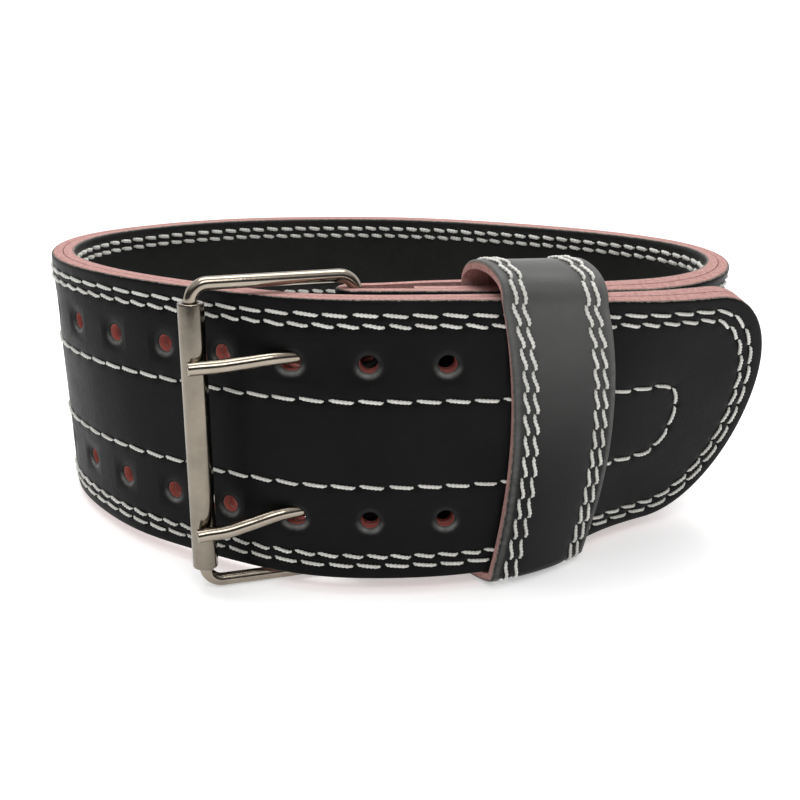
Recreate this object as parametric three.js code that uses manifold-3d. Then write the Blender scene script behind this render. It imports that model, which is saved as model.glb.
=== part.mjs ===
// Wide leather lifting belt, fastened, standing on its lower edge. Millimetres, Z up.
// The front with the buckle faces -Y. The strap is described as a flat strip:
// s runs along it from the tongue tip to the fold, h is height from its middle line,
// n is distance outward from the joint between the two leather layers.
import * as THREE from 'three';
import { mergeVertices } from 'three/addons/utils/BufferGeometryUtils.js';
import Module from 'manifold-3d';

const wasm = await Module();
wasm.setup();

// Strap
const strapHeight = 100;
const layerThickness = 4.45;
const fitGap = 0.3;
const tipLength = 33;
const tipRoundness = 2.1;
const tipStart = 0.2;
const tipStations = 12;
const sectionRows = 4;

// Ring that the strap runs in, across the spline handles of its middle line
const ringWidth = 260;
const ringDepth = 177;
const courseSteps = 1600;
const courseReach = 2;

// Fastening holes
const holeRadius = 3.5;
const holeCount = 11;
const holePitch = 25.8;
const holeRowHeight = 28;
const holeBoreRun = 1.5;
const pinnedHole = 3;
const pinnedHoleReach = 20.4;

// Buckle
const wireRadius = 2.3;
const frameRoom = { above: 2, below: 0.5 };
const frameCornerRadius = 6;
const rollerRadius = 4.45;
const rollerEndRoom = 7.5;
const rollerChamfer = 0.6;
const rollerOffset = { x: -53.6, y: -16.3 };
const wireRoomGap = 0.24;
const frameHeight = strapHeight + frameRoom.above + frameRoom.below + wireRadius * 2;
const frameCentreHeight = strapHeight / 2 + (frameRoom.above - frameRoom.below) / 2;
const rollerLength = frameHeight - wireRadius * 2 - rollerEndRoom;

// Prongs
const prongRadius = 2.4;
const eyeThickness = 2.6;
const prongDrop = { upper: 1.8, lower: 5.4 };
const prongRise = 1.4;
const prongOverhang = 2.8;
const prongBend = { before: 7.5, lift: 0.6 };
const prongHoleShift = 2.4;
const prongStub = 0.6;
const slotClearance = 0.9;
const channelClearance = 0.36;
const slotReach = 6.6;
const slotRun = 1;

// Fold back behind the buckle
const flapLength = 85.5;
const flapEndLift = 0.2;
const flapEndRun = 4;
const flapStep = 3.5;
const innerLayerStop = 20;
const foldSteps = 12;

// Keeper
const keeperWidth = 37.5;
const keeperThickness = 3.2;
const keeperFrontDistance = 91.8;
const keeperBackDistance = 51;
const keeperBackShift = 5;
const keeperCrest = 7.2;
const keeperSag = 1.3;
const keeperBow = 5.4;
const keeperPanelMargin = 2.5;
const keeperGap = 0.85;
const keeperRows = 9;
const keeperTurnSteps = 11;

// How the keeper's right edge departs from a straight one: high is a share of half the
// strap's height, inset a share of the keeper's width.
const keeperEdge = [
  { high: 1, inset: 0.17 },
  { high: 0.6, inset: 0.11 },
  { high: 0.2, inset: 0.05 },
  { high: -0.2, inset: -0.02 },
  { high: -0.6, inset: -0.08 },
  { high: -1, inset: -0.11 },
];

// Rivets through the flap, in two columns of four
const rivetHeadRadius = 4.5;
const rivetHeadHeight = 2.2;
const rivetShankRadius = 1.8;
const rivetTailRadius = 3.6;
const rivetTailHeight = 0.9;
const rivetRows = [30, 10, -10, -30];
const rivetMargin = 5.6;
const rivetSeat = 0.9;
const rivetBoreRun = 1;

// Course of the strap seen from above, from the tongue tip round to the fold: x is a
// share of the ring's width, y a share of its depth, lean the top edge's outward
// lean in degrees.
const strapCourse = [
  { x: 0.55, y: -0.254, lean: 21 },
  { x: 0.45, y: -0.322, lean: 19 },
  { x: 0.358, y: -0.395, lean: 18 },
  { x: 0.265, y: -0.48, lean: 9 },
  { x: 0.162, y: -0.52, lean: 2 },
  { x: 0.062, y: -0.537, lean: 0 },
  { x: -0.054, y: -0.537, lean: 0 },
  { x: -0.146, y: -0.486, lean: 0 },
  { x: -0.246, y: -0.401, lean: 0 },
  { x: -0.331, y: -0.322, lean: 0 },
  { x: -0.408, y: -0.209, lean: 2 },
  { x: -0.469, y: -0.079, lean: 2 },
  { x: -0.492, y: 0.085, lean: 0 },
  { x: -0.458, y: 0.226, lean: 0 },
  { x: -0.373, y: 0.339, lean: 0 },
  { x: -0.285, y: 0.418, lean: 0 },
  { x: -0.181, y: 0.452, lean: 0 },
  { x: -0.073, y: 0.463, lean: 0 },
  { x: 0.035, y: 0.458, lean: 0 },
  { x: 0.138, y: 0.418, lean: 0 },
  { x: 0.235, y: 0.356, lean: 0 },
  { x: 0.331, y: 0.282, lean: 0 },
  { x: 0.415, y: 0.192, lean: 1 },
  { x: 0.488, y: 0.068, lean: 3 },
  { x: 0.508, y: -0.09, lean: 8 },
  { x: 0.45, y: -0.232, lean: 16 },
  { x: 0.354, y: -0.294, lean: 17 },
  { x: 0.265, y: -0.379, lean: 10 },
  { x: 0.165, y: -0.446, lean: 2 },
  { x: 0.077, y: -0.458, lean: 0 },
  { x: -0.012, y: -0.458, lean: 0 },
];

const leather = { color: 0x1b1b1c, roughness: 0.5, metalness: 0 };
const keeperLeather = { color: 0x2b2c2e, roughness: 0.45, metalness: 0 };
const nickel = { color: 0xc8c2b8, roughness: 0.2, metalness: 1 };

// Strap frame

const handles = strapCourse.map(({ x, y, lean }) => ({ x: x * ringWidth, y: y * ringDepth, lean }));

function splinePoint(along) {
  const last = handles.length - 1;
  const k = Math.min(Math.floor(along * last), last - 1);
  const f = along * last - k;
  const weights = [
    (1 - f) ** 3,
    3 * f ** 3 - 6 * f ** 2 + 4,
    -3 * f ** 3 + 3 * f ** 2 + 3 * f + 1,
    f ** 3,
  ];
  const point = { x: 0, y: 0, lean: 0 };
  for (const key of ['x', 'y', 'lean']) {
    const before = 2 * handles[0][key] - handles[1][key];
    const after = 2 * handles[last][key] - handles[last - 1][key];
    const row = (i) => (i < 0 ? before : i > last ? after : handles[i][key]);
    point[key] = weights.reduce((sum, w, i) => sum + w * row(k - 1 + i), 0) / 6;
  }
  return point;
}

const courseSamples = [];
for (let i = 0; i <= courseSteps; i += 1) {
  const p = splinePoint(i / courseSteps);
  const previous = courseSamples[i - 1];
  const step = previous ? Math.hypot(p.x - previous.x, p.y - previous.y) : 0;
  courseSamples.push({ ...p, s: previous ? previous.s + step : 0 });
}
const strapLength = courseSamples[courseSamples.length - 1].s;

function courseAt(s) {
  let low = 0;
  let high = courseSamples.length - 1;
  while (high - low > 1) {
    const middle = (low + high) >> 1;
    if (courseSamples[middle].s <= s) low = middle;
    else high = middle;
  }
  const a = courseSamples[low];
  const b = courseSamples[high];
  const f = (s - a.s) / (b.s - a.s);
  const mix = (key) => a[key] + (b[key] - a[key]) * f;
  return { x: mix('x'), y: mix('y'), lean: mix('lean') };
}

function strapFrame(s) {
  const here = courseAt(s);
  const back = courseAt(Math.max(s - courseReach, 0));
  const ahead = courseAt(Math.min(s + courseReach, strapLength));
  const travel = new THREE.Vector3(ahead.x - back.x, ahead.y - back.y, 0).normalize();
  const outward = new THREE.Vector3(-travel.y, travel.x, 0);
  const lean = THREE.MathUtils.degToRad(here.lean);
  const up = new THREE.Vector3(0, 0, Math.cos(lean)).addScaledVector(outward, Math.sin(lean));
  const face = outward.clone().multiplyScalar(Math.cos(lean));
  face.z = -Math.sin(lean);
  const centre = new THREE.Vector3(here.x, here.y, strapHeight / 2);
  return { centre, travel, up, face };
}

function place(s, h, n) {
  const frame = strapFrame(s);
  return frame.centre.addScaledVector(frame.up, h).addScaledVector(frame.face, n);
}

// Solids

function signedVolume(points, faces) {
  let volume = 0;
  for (const [a, b, c] of faces) {
    volume += points[a].dot(new THREE.Vector3().crossVectors(points[b], points[c])) / 6;
  }
  return volume;
}

function solidFromFaces(points, faces) {
  const flip = signedVolume(points, faces) < 0;
  const triangles = faces.flatMap(([a, b, c]) => (flip ? [a, c, b] : [a, b, c]));
  const mesh = new wasm.Mesh({
    numProp: 3,
    vertProperties: new Float32Array(points.flatMap((p) => [p.x, p.y, p.z])),
    triVerts: new Uint32Array(triangles),
  });
  return new wasm.Manifold(mesh);
}

// A solid through a row of matching sections, closed into a ring or capped at both ends.
// Sides past the middle of a section are split along the other diagonal, so the facing
// skins of two layers are split alike.
function solidThrough(sections, ring = false) {
  const count = sections[0].length;
  const points = sections.flat();
  const faces = [];
  const spans = ring ? sections.length : sections.length - 1;
  for (let i = 0; i < spans; i += 1) {
    const j = (i + 1) % sections.length;
    for (let k = 0; k < count; k += 1) {
      const m = (k + 1) % count;
      const a = i * count + k;
      const b = i * count + m;
      const c = j * count + m;
      const d = j * count + k;
      if (k < count / 2) faces.push([a, b, c], [a, c, d]);
      else faces.push([a, b, d], [b, c, d]);
    }
  }
  if (!ring) {
    const end = (sections.length - 1) * count;
    for (let k = 1; k < count - 1; k += 1) {
      faces.push([0, k + 1, k], [end, end + k, end + k + 1]);
    }
  }
  return solidFromFaces(points, faces);
}

function solidFromGeometry(geometry) {
  const bare = new THREE.BufferGeometry();
  bare.setAttribute('position', geometry.getAttribute('position').clone());
  if (geometry.index) bare.setIndex(geometry.index.clone());
  const merged = mergeVertices(bare, 1e-5);
  const mesh = new wasm.Mesh({
    numProp: 3,
    vertProperties: new Float32Array(merged.getAttribute('position').array),
    triVerts: new Uint32Array(merged.index.array),
  });
  return new wasm.Manifold(mesh);
}

// A round bar whose axis points along the given direction.
function barAlong(radius, height, segments, centre, direction) {
  const geometry = new THREE.CylinderGeometry(radius, radius, height, segments);
  geometry.rotateX(Math.PI / 2);
  const turn = new THREE.Quaternion().setFromUnitVectors(new THREE.Vector3(0, 0, 1), direction);
  geometry.applyQuaternion(turn);
  geometry.translate(centre.x, centre.y, centre.z);
  return solidFromGeometry(geometry);
}

// Round wire through points that lie in one plane with the given normal.
function wireSections(points, radius, segments, normal, ring = false) {
  return points.map((point, i) => {
    const last = points.length - 1;
    const before = ring ? points[(i + last) % points.length] : points[Math.max(i - 1, 0)];
    const after = ring ? points[(i + 1) % points.length] : points[Math.min(i + 1, last)];
    const along = after.clone().sub(before).normalize();
    const side = new THREE.Vector3().crossVectors(normal, along).normalize();
    const rise = new THREE.Vector3().crossVectors(along, side);
    return Array.from({ length: segments }, (_, k) => {
      const angle = (k / segments) * 2 * Math.PI;
      const spoke = point.clone().addScaledVector(side, radius * Math.cos(angle));
      return spoke.addScaledVector(rise, radius * Math.sin(angle));
    });
  });
}

// Strap layers

function tongueHalfHeight(s) {
  if (s >= tipLength) return strapHeight / 2;
  const reach = 1 - s / tipLength;
  return (strapHeight / 2) * (1 - reach ** tipRoundness) ** (1 / tipRoundness);
}

function sectionHeights(half) {
  return Array.from({ length: sectionRows + 1 }, (_, i) => half * (1 - (2 * i) / sectionRows));
}

function strapSection(s, inside, outside, half = tongueHalfHeight(s)) {
  const rear = sectionHeights(half).map((h) => place(s, h, inside));
  const front = sectionHeights(half).map((h) => place(s, h, outside));
  return [...rear, ...front.reverse()];
}

const layerInside = fitGap / 2;
const layerOutside = layerInside + layerThickness;
const foldRadius = wireRadius + fitGap + layerThickness / 2;
const foldFrame = strapFrame(strapLength);
const barDistance = layerInside + layerThickness / 2 - foldRadius;
const barCentre = place(strapLength, 0, barDistance);

// The pinned hole lies a set reach to the side of the pivot bar, on the tongue's run.
const pinnedAt = barCentre.x - pinnedHoleReach;
const pinnedDistance = courseSamples.find((p) => p.x < pinnedAt).s;
const firstHole = pinnedDistance - pinnedHole * holePitch;

// Stations keep the same places round every hole.
function strapStations(end) {
  const stations = [];
  for (let i = 0; i <= tipStations; i += 1) {
    const angle = (i / tipStations) * (Math.PI / 2);
    stations.push(tipStart + (tipLength - tipStart) * (1 - Math.cos(angle)));
  }
  const step = holePitch / 3;
  const steps = Math.floor((firstHole - tipLength) / step - 0.8) + 0.5;
  for (let s = firstHole - steps * step; s < end - step * 0.4; s += step) stations.push(s);
  stations.push(end);
  return stations;
}

// Distance of the flap's middle from the layer joint: it leaves the fold, rides over
// the keeper's hidden panel, and comes back towards the strap at its free end.
const flapAtFold = foldRadius - barDistance;
const flapOverKeeper = layerOutside + keeperGap * 2 + keeperThickness + layerThickness / 2;
const flapAtEnd = layerOutside + fitGap + layerThickness / 2 + flapEndLift;
function flapDistance(t) {
  const { lerp, smoothstep } = THREE.MathUtils;
  const rise = keeperBackDistance - keeperWidth / 2 - keeperPanelMargin;
  const fall = keeperBackDistance + keeperWidth / 2 + keeperPanelMargin;
  if (t < rise) return lerp(flapAtFold, flapOverKeeper, smoothstep(t, 0, rise));
  if (t < fall) return flapOverKeeper;
  return lerp(flapOverKeeper, flapAtEnd, smoothstep(t, fall, flapLength + flapEndRun));
}

// Half turn of the outer layer round the pivot bar, then the flap along the inside.
function foldSections() {
  const sections = [];
  const half = strapHeight / 2;
  const { travel, face, up } = foldFrame;
  for (let i = 1; i < foldSteps; i += 1) {
    const angle = (i / foldSteps) * Math.PI;
    const out = face.clone().multiplyScalar(Math.cos(angle));
    out.addScaledVector(travel, Math.sin(angle));
    const corner = (side, h) => {
      const radius = foldRadius + (side * layerThickness) / 2;
      return barCentre.clone().addScaledVector(out, radius).addScaledVector(up, h);
    };
    const rear = sectionHeights(half).map((h) => corner(-1, h));
    const front = sectionHeights(half).map((h) => corner(1, h));
    sections.push([...rear, ...front.reverse()]);
  }
  const count = Math.ceil(flapLength / flapStep);
  for (let i = 0; i <= count; i += 1) {
    const t = (flapLength * i) / count;
    const rear = layerThickness / 2 - flapDistance(t);
    sections.push(strapSection(strapLength - t, rear, rear - layerThickness, half));
  }
  return sections;
}

// Buckle

const upright = new THREE.Vector3(0, 0, 1);
const rollerCentre = barCentre.clone().add(new THREE.Vector3(rollerOffset.x, rollerOffset.y, 0));
const frameAcross = rollerCentre.clone().sub(barCentre).setZ(0).normalize();
const frameWidth = rollerCentre.distanceTo(barCentre);
const frameNormal = new THREE.Vector3().crossVectors(frameAcross, upright);

function framePoints() {
  const corners = [
    { across: frameWidth, high: 1, turn: 0 },
    { across: 0, high: 1, turn: 1 },
    { across: 0, high: -1, turn: 2 },
    { across: frameWidth, high: -1, turn: 3 },
  ];
  const points = [];
  for (const corner of corners) {
    const inward = corner.across > 0 ? -1 : 1;
    const centreAcross = corner.across + inward * frameCornerRadius;
    const centreHigh = corner.high * (frameHeight / 2 - frameCornerRadius);
    for (let i = 0; i <= 5; i += 1) {
      const angle = (corner.turn + i / 5) * (Math.PI / 2);
      const across = centreAcross + frameCornerRadius * Math.cos(angle);
      const high = centreHigh + frameCornerRadius * Math.sin(angle);
      const point = barCentre.clone().addScaledVector(frameAcross, across);
      points.push(point.setZ(frameCentreHeight + high));
    }
  }
  return points;
}

function frameWire(radius, segments) {
  return solidThrough(wireSections(framePoints(), radius, segments, frameNormal, true), true);
}

function buckleRoller() {
  const bore = wireRadius + fitGap;
  const half = rollerLength / 2;
  const profile = [
    new THREE.Vector2(bore, -half),
    new THREE.Vector2(rollerRadius - rollerChamfer, -half),
    new THREE.Vector2(rollerRadius, -half + rollerChamfer),
    new THREE.Vector2(rollerRadius, half - rollerChamfer),
    new THREE.Vector2(rollerRadius - rollerChamfer, half),
    new THREE.Vector2(bore, half),
    new THREE.Vector2(bore, -half),
  ];
  const geometry = new THREE.LatheGeometry(profile, 20);
  geometry.rotateX(Math.PI / 2);
  geometry.translate(rollerCentre.x, rollerCentre.y, frameCentreHeight);
  return solidFromGeometry(geometry);
}

// Middle line of a prong: from the pivot bar up and out through its hole, then down to
// its bend over the roller.
function prongPoints(side) {
  const height = strapHeight / 2 + side * holeRowHeight;
  const drop = side > 0 ? prongDrop.upper : prongDrop.lower;
  const eyeReach = wireRadius + fitGap + prongRadius;
  const start = barCentre.clone().addScaledVector(foldFrame.face, eyeReach);
  const hole = place(pinnedDistance + prongHoleShift, side * holeRowHeight, layerOutside);
  const over = rollerRadius + prongRadius + fitGap;
  const front = frameNormal.clone().multiplyScalar(Math.sign(frameNormal.dot(foldFrame.face)));
  const rest = rollerCentre.clone().addScaledVector(front, over);
  const bend = rest.clone().addScaledVector(frameAcross, -prongBend.before);
  bend.addScaledVector(front, prongBend.lift);
  const end = rest.clone().addScaledVector(frameAcross, prongOverhang);
  const reach = end.distanceTo(hole);
  const level = (p) => height + prongRise - (drop * p.distanceTo(hole)) / reach;
  return [start.setZ(height), ...[hole, bend, rest, end].map((p) => p.clone().setZ(level(p)))];
}

function prongWire(side, radius, segments) {
  const [start, hole, bend, rest, end] = prongPoints(side);
  const stub = start.clone().addScaledVector(foldFrame.travel, -prongStub);
  const middle = hole.clone().lerp(bend, 0.6);
  const points = [stub, start, hole, middle, bend, rest, end];
  const curve = new THREE.CatmullRomCurve3(points, false, 'centripetal');
  return solidThrough(wireSections(curve.getPoints(14), radius, segments, upright));
}

function buckleProng(side) {
  const centre = barCentre.clone().setZ(strapHeight / 2 + side * holeRowHeight);
  const bore = wireRadius + fitGap;
  const eye = barAlong(bore + eyeThickness, prongRadius * 2, 20, centre, upright);
  const hollow = barAlong(bore, prongRadius * 4, 20, centre, upright);
  return eye.add(prongWire(side, prongRadius, 10)).subtract(hollow);
}

// Oval slot in the fold that lets a prong out.
function prongSlot(side) {
  const half = prongRadius + slotClearance;
  const front = foldRadius + layerThickness / 2 + slotRun;
  const shape = new THREE.Shape();
  shape.moveTo(slotReach - half, -half);
  shape.absarc(slotReach - half, 0, half, -Math.PI / 2, Math.PI / 2, false);
  shape.lineTo(-front, half);
  shape.lineTo(-front, -half);
  const depth = front * 2;
  const options = { depth, bevelEnabled: false, curveSegments: 10 };
  const geometry = new THREE.ExtrudeGeometry(shape, options);
  geometry.translate(0, 0, -depth / 2);
  const across = foldFrame.travel.clone().negate();
  const through = new THREE.Vector3().crossVectors(across, upright);
  geometry.applyMatrix4(new THREE.Matrix4().makeBasis(across, upright, through));
  geometry.translate(barCentre.x, barCentre.y, strapHeight / 2 + side * holeRowHeight);
  return solidFromGeometry(geometry);
}

function fasteningHoles() {
  const tools = [];
  const depth = (layerOutside + holeBoreRun) * 2;
  for (let i = 0; i < holeCount; i += 1) {
    const s = firstHole + i * holePitch;
    for (const side of [1, -1]) {
      const centre = place(s, side * holeRowHeight, 0);
      tools.push(barAlong(holeRadius, depth, 10, centre, strapFrame(s).face));
    }
  }
  return tools;
}

// Rivets

function rivetSpots() {
  const near = keeperBackDistance - keeperWidth / 2 - rivetMargin;
  const far = keeperBackDistance + keeperWidth / 2 + rivetMargin;
  return [near, far].flatMap((distance) => rivetRows.map((h) => ({ distance, h })));
}

// Half of the flap's slope, so head and tail lean by the same small angle.
function rivetAxis({ distance }) {
  const step = courseReach;
  const slope = (flapDistance(distance + step) - flapDistance(distance - step)) / (2 * step);
  const frame = strapFrame(strapLength - distance);
  return frame.face.clone().negate().addScaledVector(frame.travel, slope / 2).normalize();
}

function rivetSolid(spot) {
  const axis = rivetAxis(spot);
  const lift = fitGap + rivetSeat;
  const head = flapDistance(spot.distance) + layerThickness / 2 + lift;
  const tail = -(layerOutside + lift);
  const profile = [
    [0, tail - rivetTailHeight],
    [rivetTailRadius * 0.86, tail - rivetTailHeight],
    [rivetTailRadius, tail],
    [rivetShankRadius, tail],
    [rivetShankRadius, head],
    [rivetHeadRadius, head],
    [rivetHeadRadius * 0.92, head + rivetHeadHeight * 0.45],
    [rivetHeadRadius * 0.66, head + rivetHeadHeight * 0.85],
    [0, head + rivetHeadHeight],
  ].map(([r, z]) => new THREE.Vector2(r, z));
  const geometry = new THREE.LatheGeometry(profile, 10);
  geometry.rotateX(Math.PI / 2);
  geometry.applyQuaternion(new THREE.Quaternion().setFromUnitVectors(upright, axis));
  const root = place(strapLength - spot.distance, spot.h, 0);
  geometry.translate(root.x, root.y, root.z);
  return solidFromGeometry(geometry);
}

function rivetBore(spot) {
  const outer = layerOutside + rivetBoreRun;
  const inner = flapDistance(spot.distance) + layerThickness / 2 + rivetBoreRun;
  const axis = rivetAxis(spot);
  const root = place(strapLength - spot.distance, spot.h, 0);
  const middle = root.addScaledVector(axis, (inner - outer) / 2);
  return barAlong(rivetShankRadius + fitGap, inner + outer, 10, middle, axis);
}

// Keeper: a strip led round both straps, its hidden panel between strap and flap.

// Half turn between the two panels, over or under the strap edges.
function keeperTurn(from, to, rise) {
  const points = [];
  const clear = Math.sign(rise) * (keeperThickness / 2 + fitGap);
  for (let i = 1; i < keeperTurnSteps; i += 1) {
    const angle = (i / keeperTurnSteps) * Math.PI;
    const point = from.clone().lerp(to, (1 - Math.cos(angle)) / 2);
    const bulge = Math.sin(angle) ** 0.8;
    points.push(point.addScaledVector(upright, (clear + rise) * bulge));
  }
  return points;
}

function keeperInset(high) {
  const k = Math.max(1, keeperEdge.findIndex((row) => row.high <= high + 1e-9));
  const [a, b] = [keeperEdge[k - 1], keeperEdge[k]];
  return THREE.MathUtils.lerp(b.inset, a.inset, (high - b.high) / (a.high - b.high));
}

// One line round the keeper, w to the side of its middle.
function keeperLine(w) {
  const half = strapHeight / 2;
  const front = layerOutside + keeperGap + keeperThickness / 2;
  const rightward = w / keeperWidth + 0.5;
  const frontAt = (h) => {
    const bow = keeperBow * (1 - (h / half) ** 2);
    const inset = keeperInset(h / half) * keeperWidth * rightward;
    return place(keeperFrontDistance - w - bow + inset, h, front);
  };
  const backAt = (h) => {
    const shift = keeperBackShift * THREE.MathUtils.smoothstep(h / half, 0.3, 1);
    return place(strapLength - keeperBackDistance - w - shift, h, -front);
  };
  const rowHeight = (i) => half - (strapHeight * i) / keeperRows;
  const line = [];
  for (let i = 0; i <= keeperRows; i += 1) line.push(frontAt(rowHeight(i)));
  line.push(...keeperTurn(frontAt(-half), backAt(-half), -keeperSag));
  for (let i = 0; i <= keeperRows; i += 1) line.push(backAt(-rowHeight(i)));
  line.push(...keeperTurn(backAt(half), frontAt(half), keeperCrest));
  return line;
}

function beltKeeper() {
  const columns = [-0.5, -0.25, 0, 0.25, 0.5].map((f) => keeperLine(f * keeperWidth));
  const count = columns[0].length;
  const sections = [];
  for (let i = 0; i < count; i += 1) {
    const across = columns[4][i].clone().sub(columns[0][i]).normalize();
    const outs = columns.map((line) => {
      const along = line[(i + 1) % count].clone().sub(line[(i + count - 1) % count]);
      return new THREE.Vector3().crossVectors(across, along).normalize();
    });
    const skin = (distance) => columns.map((line, k) => {
      return line[i].clone().addScaledVector(outs[k], distance);
    });
    sections.push([...skin(keeperThickness / 2), ...skin(-keeperThickness / 2).reverse()]);
  }
  return solidThrough(sections, true);
}

// Assembly

const bores = rivetSpots().map(rivetBore);
const channels = [1, -1].map((side) => prongWire(side, prongRadius + channelClearance, 10));
const cuts = wasm.Manifold.union([...fasteningHoles(), ...channels, ...bores]);
const wireRoom = frameWire(wireRadius + wireRoomGap, 12);
const slots = wasm.Manifold.union([prongSlot(1), prongSlot(-1), wireRoom]);

function layerSections(end, inside, outside) {
  return strapStations(end).map((s) => strapSection(s, inside, outside));
}

const meshTolerance = 0.02;
const outerSections = layerSections(strapLength, layerInside, layerOutside);
const innerSections = layerSections(strapLength - innerLayerStop, -layerOutside, -layerInside);
const outerStrip = solidThrough([...outerSections, ...foldSections()]);
const innerStrip = solidThrough(innerSections);
const outerLayer = outerStrip.subtract(cuts).subtract(slots).asOriginal();
const innerLayer = innerStrip.subtract(cuts).asOriginal();

const pieces = [
  { name: 'strap_outer_layer', look: leather, solid: outerLayer.simplify(meshTolerance) },
  { name: 'strap_inner_layer', look: leather, solid: innerLayer.simplify(meshTolerance) },
  { name: 'keeper', look: keeperLeather, solid: beltKeeper() },
  { name: 'buckle_frame', look: nickel, solid: frameWire(wireRadius, 10) },
  { name: 'buckle_roller', look: nickel, solid: buckleRoller() },
  { name: 'prong_upper', look: nickel, solid: buckleProng(1) },
  { name: 'prong_lower', look: nickel, solid: buckleProng(-1) },
];
rivetSpots().forEach((spot, i) => {
  pieces.push({ name: `rivet_${i + 1}`, look: nickel, solid: rivetSolid(spot) });
});

function meshFor({ name, look, solid }) {
  const { vertProperties, triVerts } = solid.getMesh();
  const geometry = new THREE.BufferGeometry();
  const positions = new THREE.BufferAttribute(new Float32Array(vertProperties), 3);
  geometry.setAttribute('position', positions);
  geometry.setIndex(new THREE.BufferAttribute(new Uint32Array(triVerts), 1));
  const mesh = new THREE.Mesh(geometry, new THREE.MeshStandardMaterial(look));
  mesh.name = name;
  return mesh;
}

const belt = new THREE.Group();
belt.name = 'lifting_belt';
pieces.forEach((piece) => belt.add(meshFor(piece)));

// The buckle wire reaches below the strap, so the belt rests on that wire and on the
// rear of its lower edge, tipped back by a small angle.
const wireFoot = {
  y: (barCentre.y + rollerCentre.y) / 2,
  z: frameCentreHeight - frameHeight / 2 - wireRadius,
};
const rearFoot = Math.max(...handles.map(({ y }) => y)) - layerOutside;
const restTilt = -Math.atan2(-wireFoot.z, rearFoot - wireFoot.y);
const tipping = new THREE.Matrix4().makeRotationX(restTilt);
belt.children.forEach((mesh) => mesh.geometry.applyMatrix4(tipping));
const bounds = new THREE.Box3().setFromObject(belt);
const middle = bounds.getCenter(new THREE.Vector3());
belt.children.forEach((mesh) => {
  mesh.geometry.translate(-middle.x, -middle.y, -bounds.min.z);
  mesh.geometry.computeVertexNormals();
});

export default belt;
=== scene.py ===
"""Wide leather lifting belt, fastened, dressed with rounded leather, thread and nickel.

Lengths are in millimetres in the strap's own frame, where the strap stands level, and
are turned into the row's frame in metres when a mesh is made. q runs along a strip from
its tip, h is height from its middle line, m is distance from the middle of its thickness
towards the grain side.
"""

import math
import random

import bpy
import numpy as np
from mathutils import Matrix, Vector, kdtree, noise


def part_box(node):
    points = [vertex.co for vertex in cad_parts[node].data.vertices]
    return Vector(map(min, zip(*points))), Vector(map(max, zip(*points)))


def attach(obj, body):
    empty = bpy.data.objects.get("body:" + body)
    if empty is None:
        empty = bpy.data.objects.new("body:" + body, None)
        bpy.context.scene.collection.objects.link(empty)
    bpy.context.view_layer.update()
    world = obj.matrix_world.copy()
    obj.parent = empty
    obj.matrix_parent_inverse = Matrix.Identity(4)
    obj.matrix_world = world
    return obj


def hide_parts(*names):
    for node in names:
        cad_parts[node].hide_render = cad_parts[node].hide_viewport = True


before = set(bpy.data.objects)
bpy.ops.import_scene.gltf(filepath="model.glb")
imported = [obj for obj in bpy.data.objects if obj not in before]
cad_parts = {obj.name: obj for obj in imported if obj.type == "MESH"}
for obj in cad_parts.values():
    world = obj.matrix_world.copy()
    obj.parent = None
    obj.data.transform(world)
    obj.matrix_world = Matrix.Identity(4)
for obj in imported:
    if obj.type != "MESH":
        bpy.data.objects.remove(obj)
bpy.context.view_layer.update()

# Strap
STRAP_HEIGHT = 100
LAYER_THICKNESS = 4.45
FIT_GAP = 0.3
RING_WIDTH = 260
RING_DEPTH = 177
COURSE_STEPS = 4000
COURSE_REACH = 2

# Fastening holes
HOLE_RADIUS = 3.1
HOLE_SIDES = 40
HOLE_COUNT = 11
FIRST_HOLE = 100.58
HOLE_PITCH = 25.8
HOLE_ROW_HEIGHT = 28
PINNED_HOLE = 3
LIP_WIDTH = 1.9
LIP_DEPTH = 1.3
LIP_FALL = 1.25
LIP_BULGE = (0.12, 3.4, 1.3)

# Buckle
WIRE_RADIUS = 2.3
FRAME_HEIGHT = 107.1
FRAME_CENTRE_HEIGHT = 50.75
FRAME_CORNER_RADIUS = 6
ROLLER_RADIUS = 4.45
ROLLER_LENGTH = 95
ROLLER_OFFSET = (-53.6, -16.3)
ROLLER_EDGE = ((0.6, 0), (0.25, 0.08), (0.06, 0.3), (0, 0.6))
ROLLER_BORE_EDGE = 0.15
PRONG_RADIUS = 2.4
PRONG_DROP = {1: 1.8, -1: 5.4}
PRONG_RISE = 1.4
PRONG_OVERHANG = 2.8
PRONG_BEND_BEFORE = 7.5
PRONG_BEND_LIFT = 0.6
PRONG_HOLE_SHIFT = 2.4
PRONG_STUB = 0.6
PRONG_MIDDLE = 0.6
PRONG_TIP_RUN = 0.25
PRONG_TIP_ROUND = 0.3
EYE_THICKNESS = 2.6
EYE_HEIGHT_SHARE = 0.98
SLOT_HALF_WIDTH = 3.3
SLOT_REACH = 6.6
SLOT_SPREAD = 1.6

# Fold and flap
FLAP_LENGTH = 85.5
FLAP_END_LIFT = 0.2
FLAP_END_RUN = 4
FLAP_MIDDLE_HEIGHT = 15.3
INNER_LAYER_STOP = 20

# Keeper
KEEPER_WIDTH = 37.5
KEEPER_THICKNESS = 3.2
KEEPER_FRONT_DISTANCE = 91.8
KEEPER_BACK_DISTANCE = 51
KEEPER_BACK_SHIFT = 5
KEEPER_CREST = 7.2
KEEPER_SAG = 1.3
KEEPER_BOW = 5.4
KEEPER_PANEL_MARGIN = 2.5
KEEPER_GAP = 0.85
KEEPER_SHIFT_START = 0.3
KEEPER_TURN_FULLNESS = 0.8
KEEPER_EDGE_ROUND = 1.0
KEEPER_RIDGE = (0.18, 12.2, 1.1)
# Lighter band along the keeper's edges: painted highlight on the rounded edges, partly rub
KEEPER_RUB_AND_HIGHLIGHT = (0.5, 1.3, 0.8)

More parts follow.
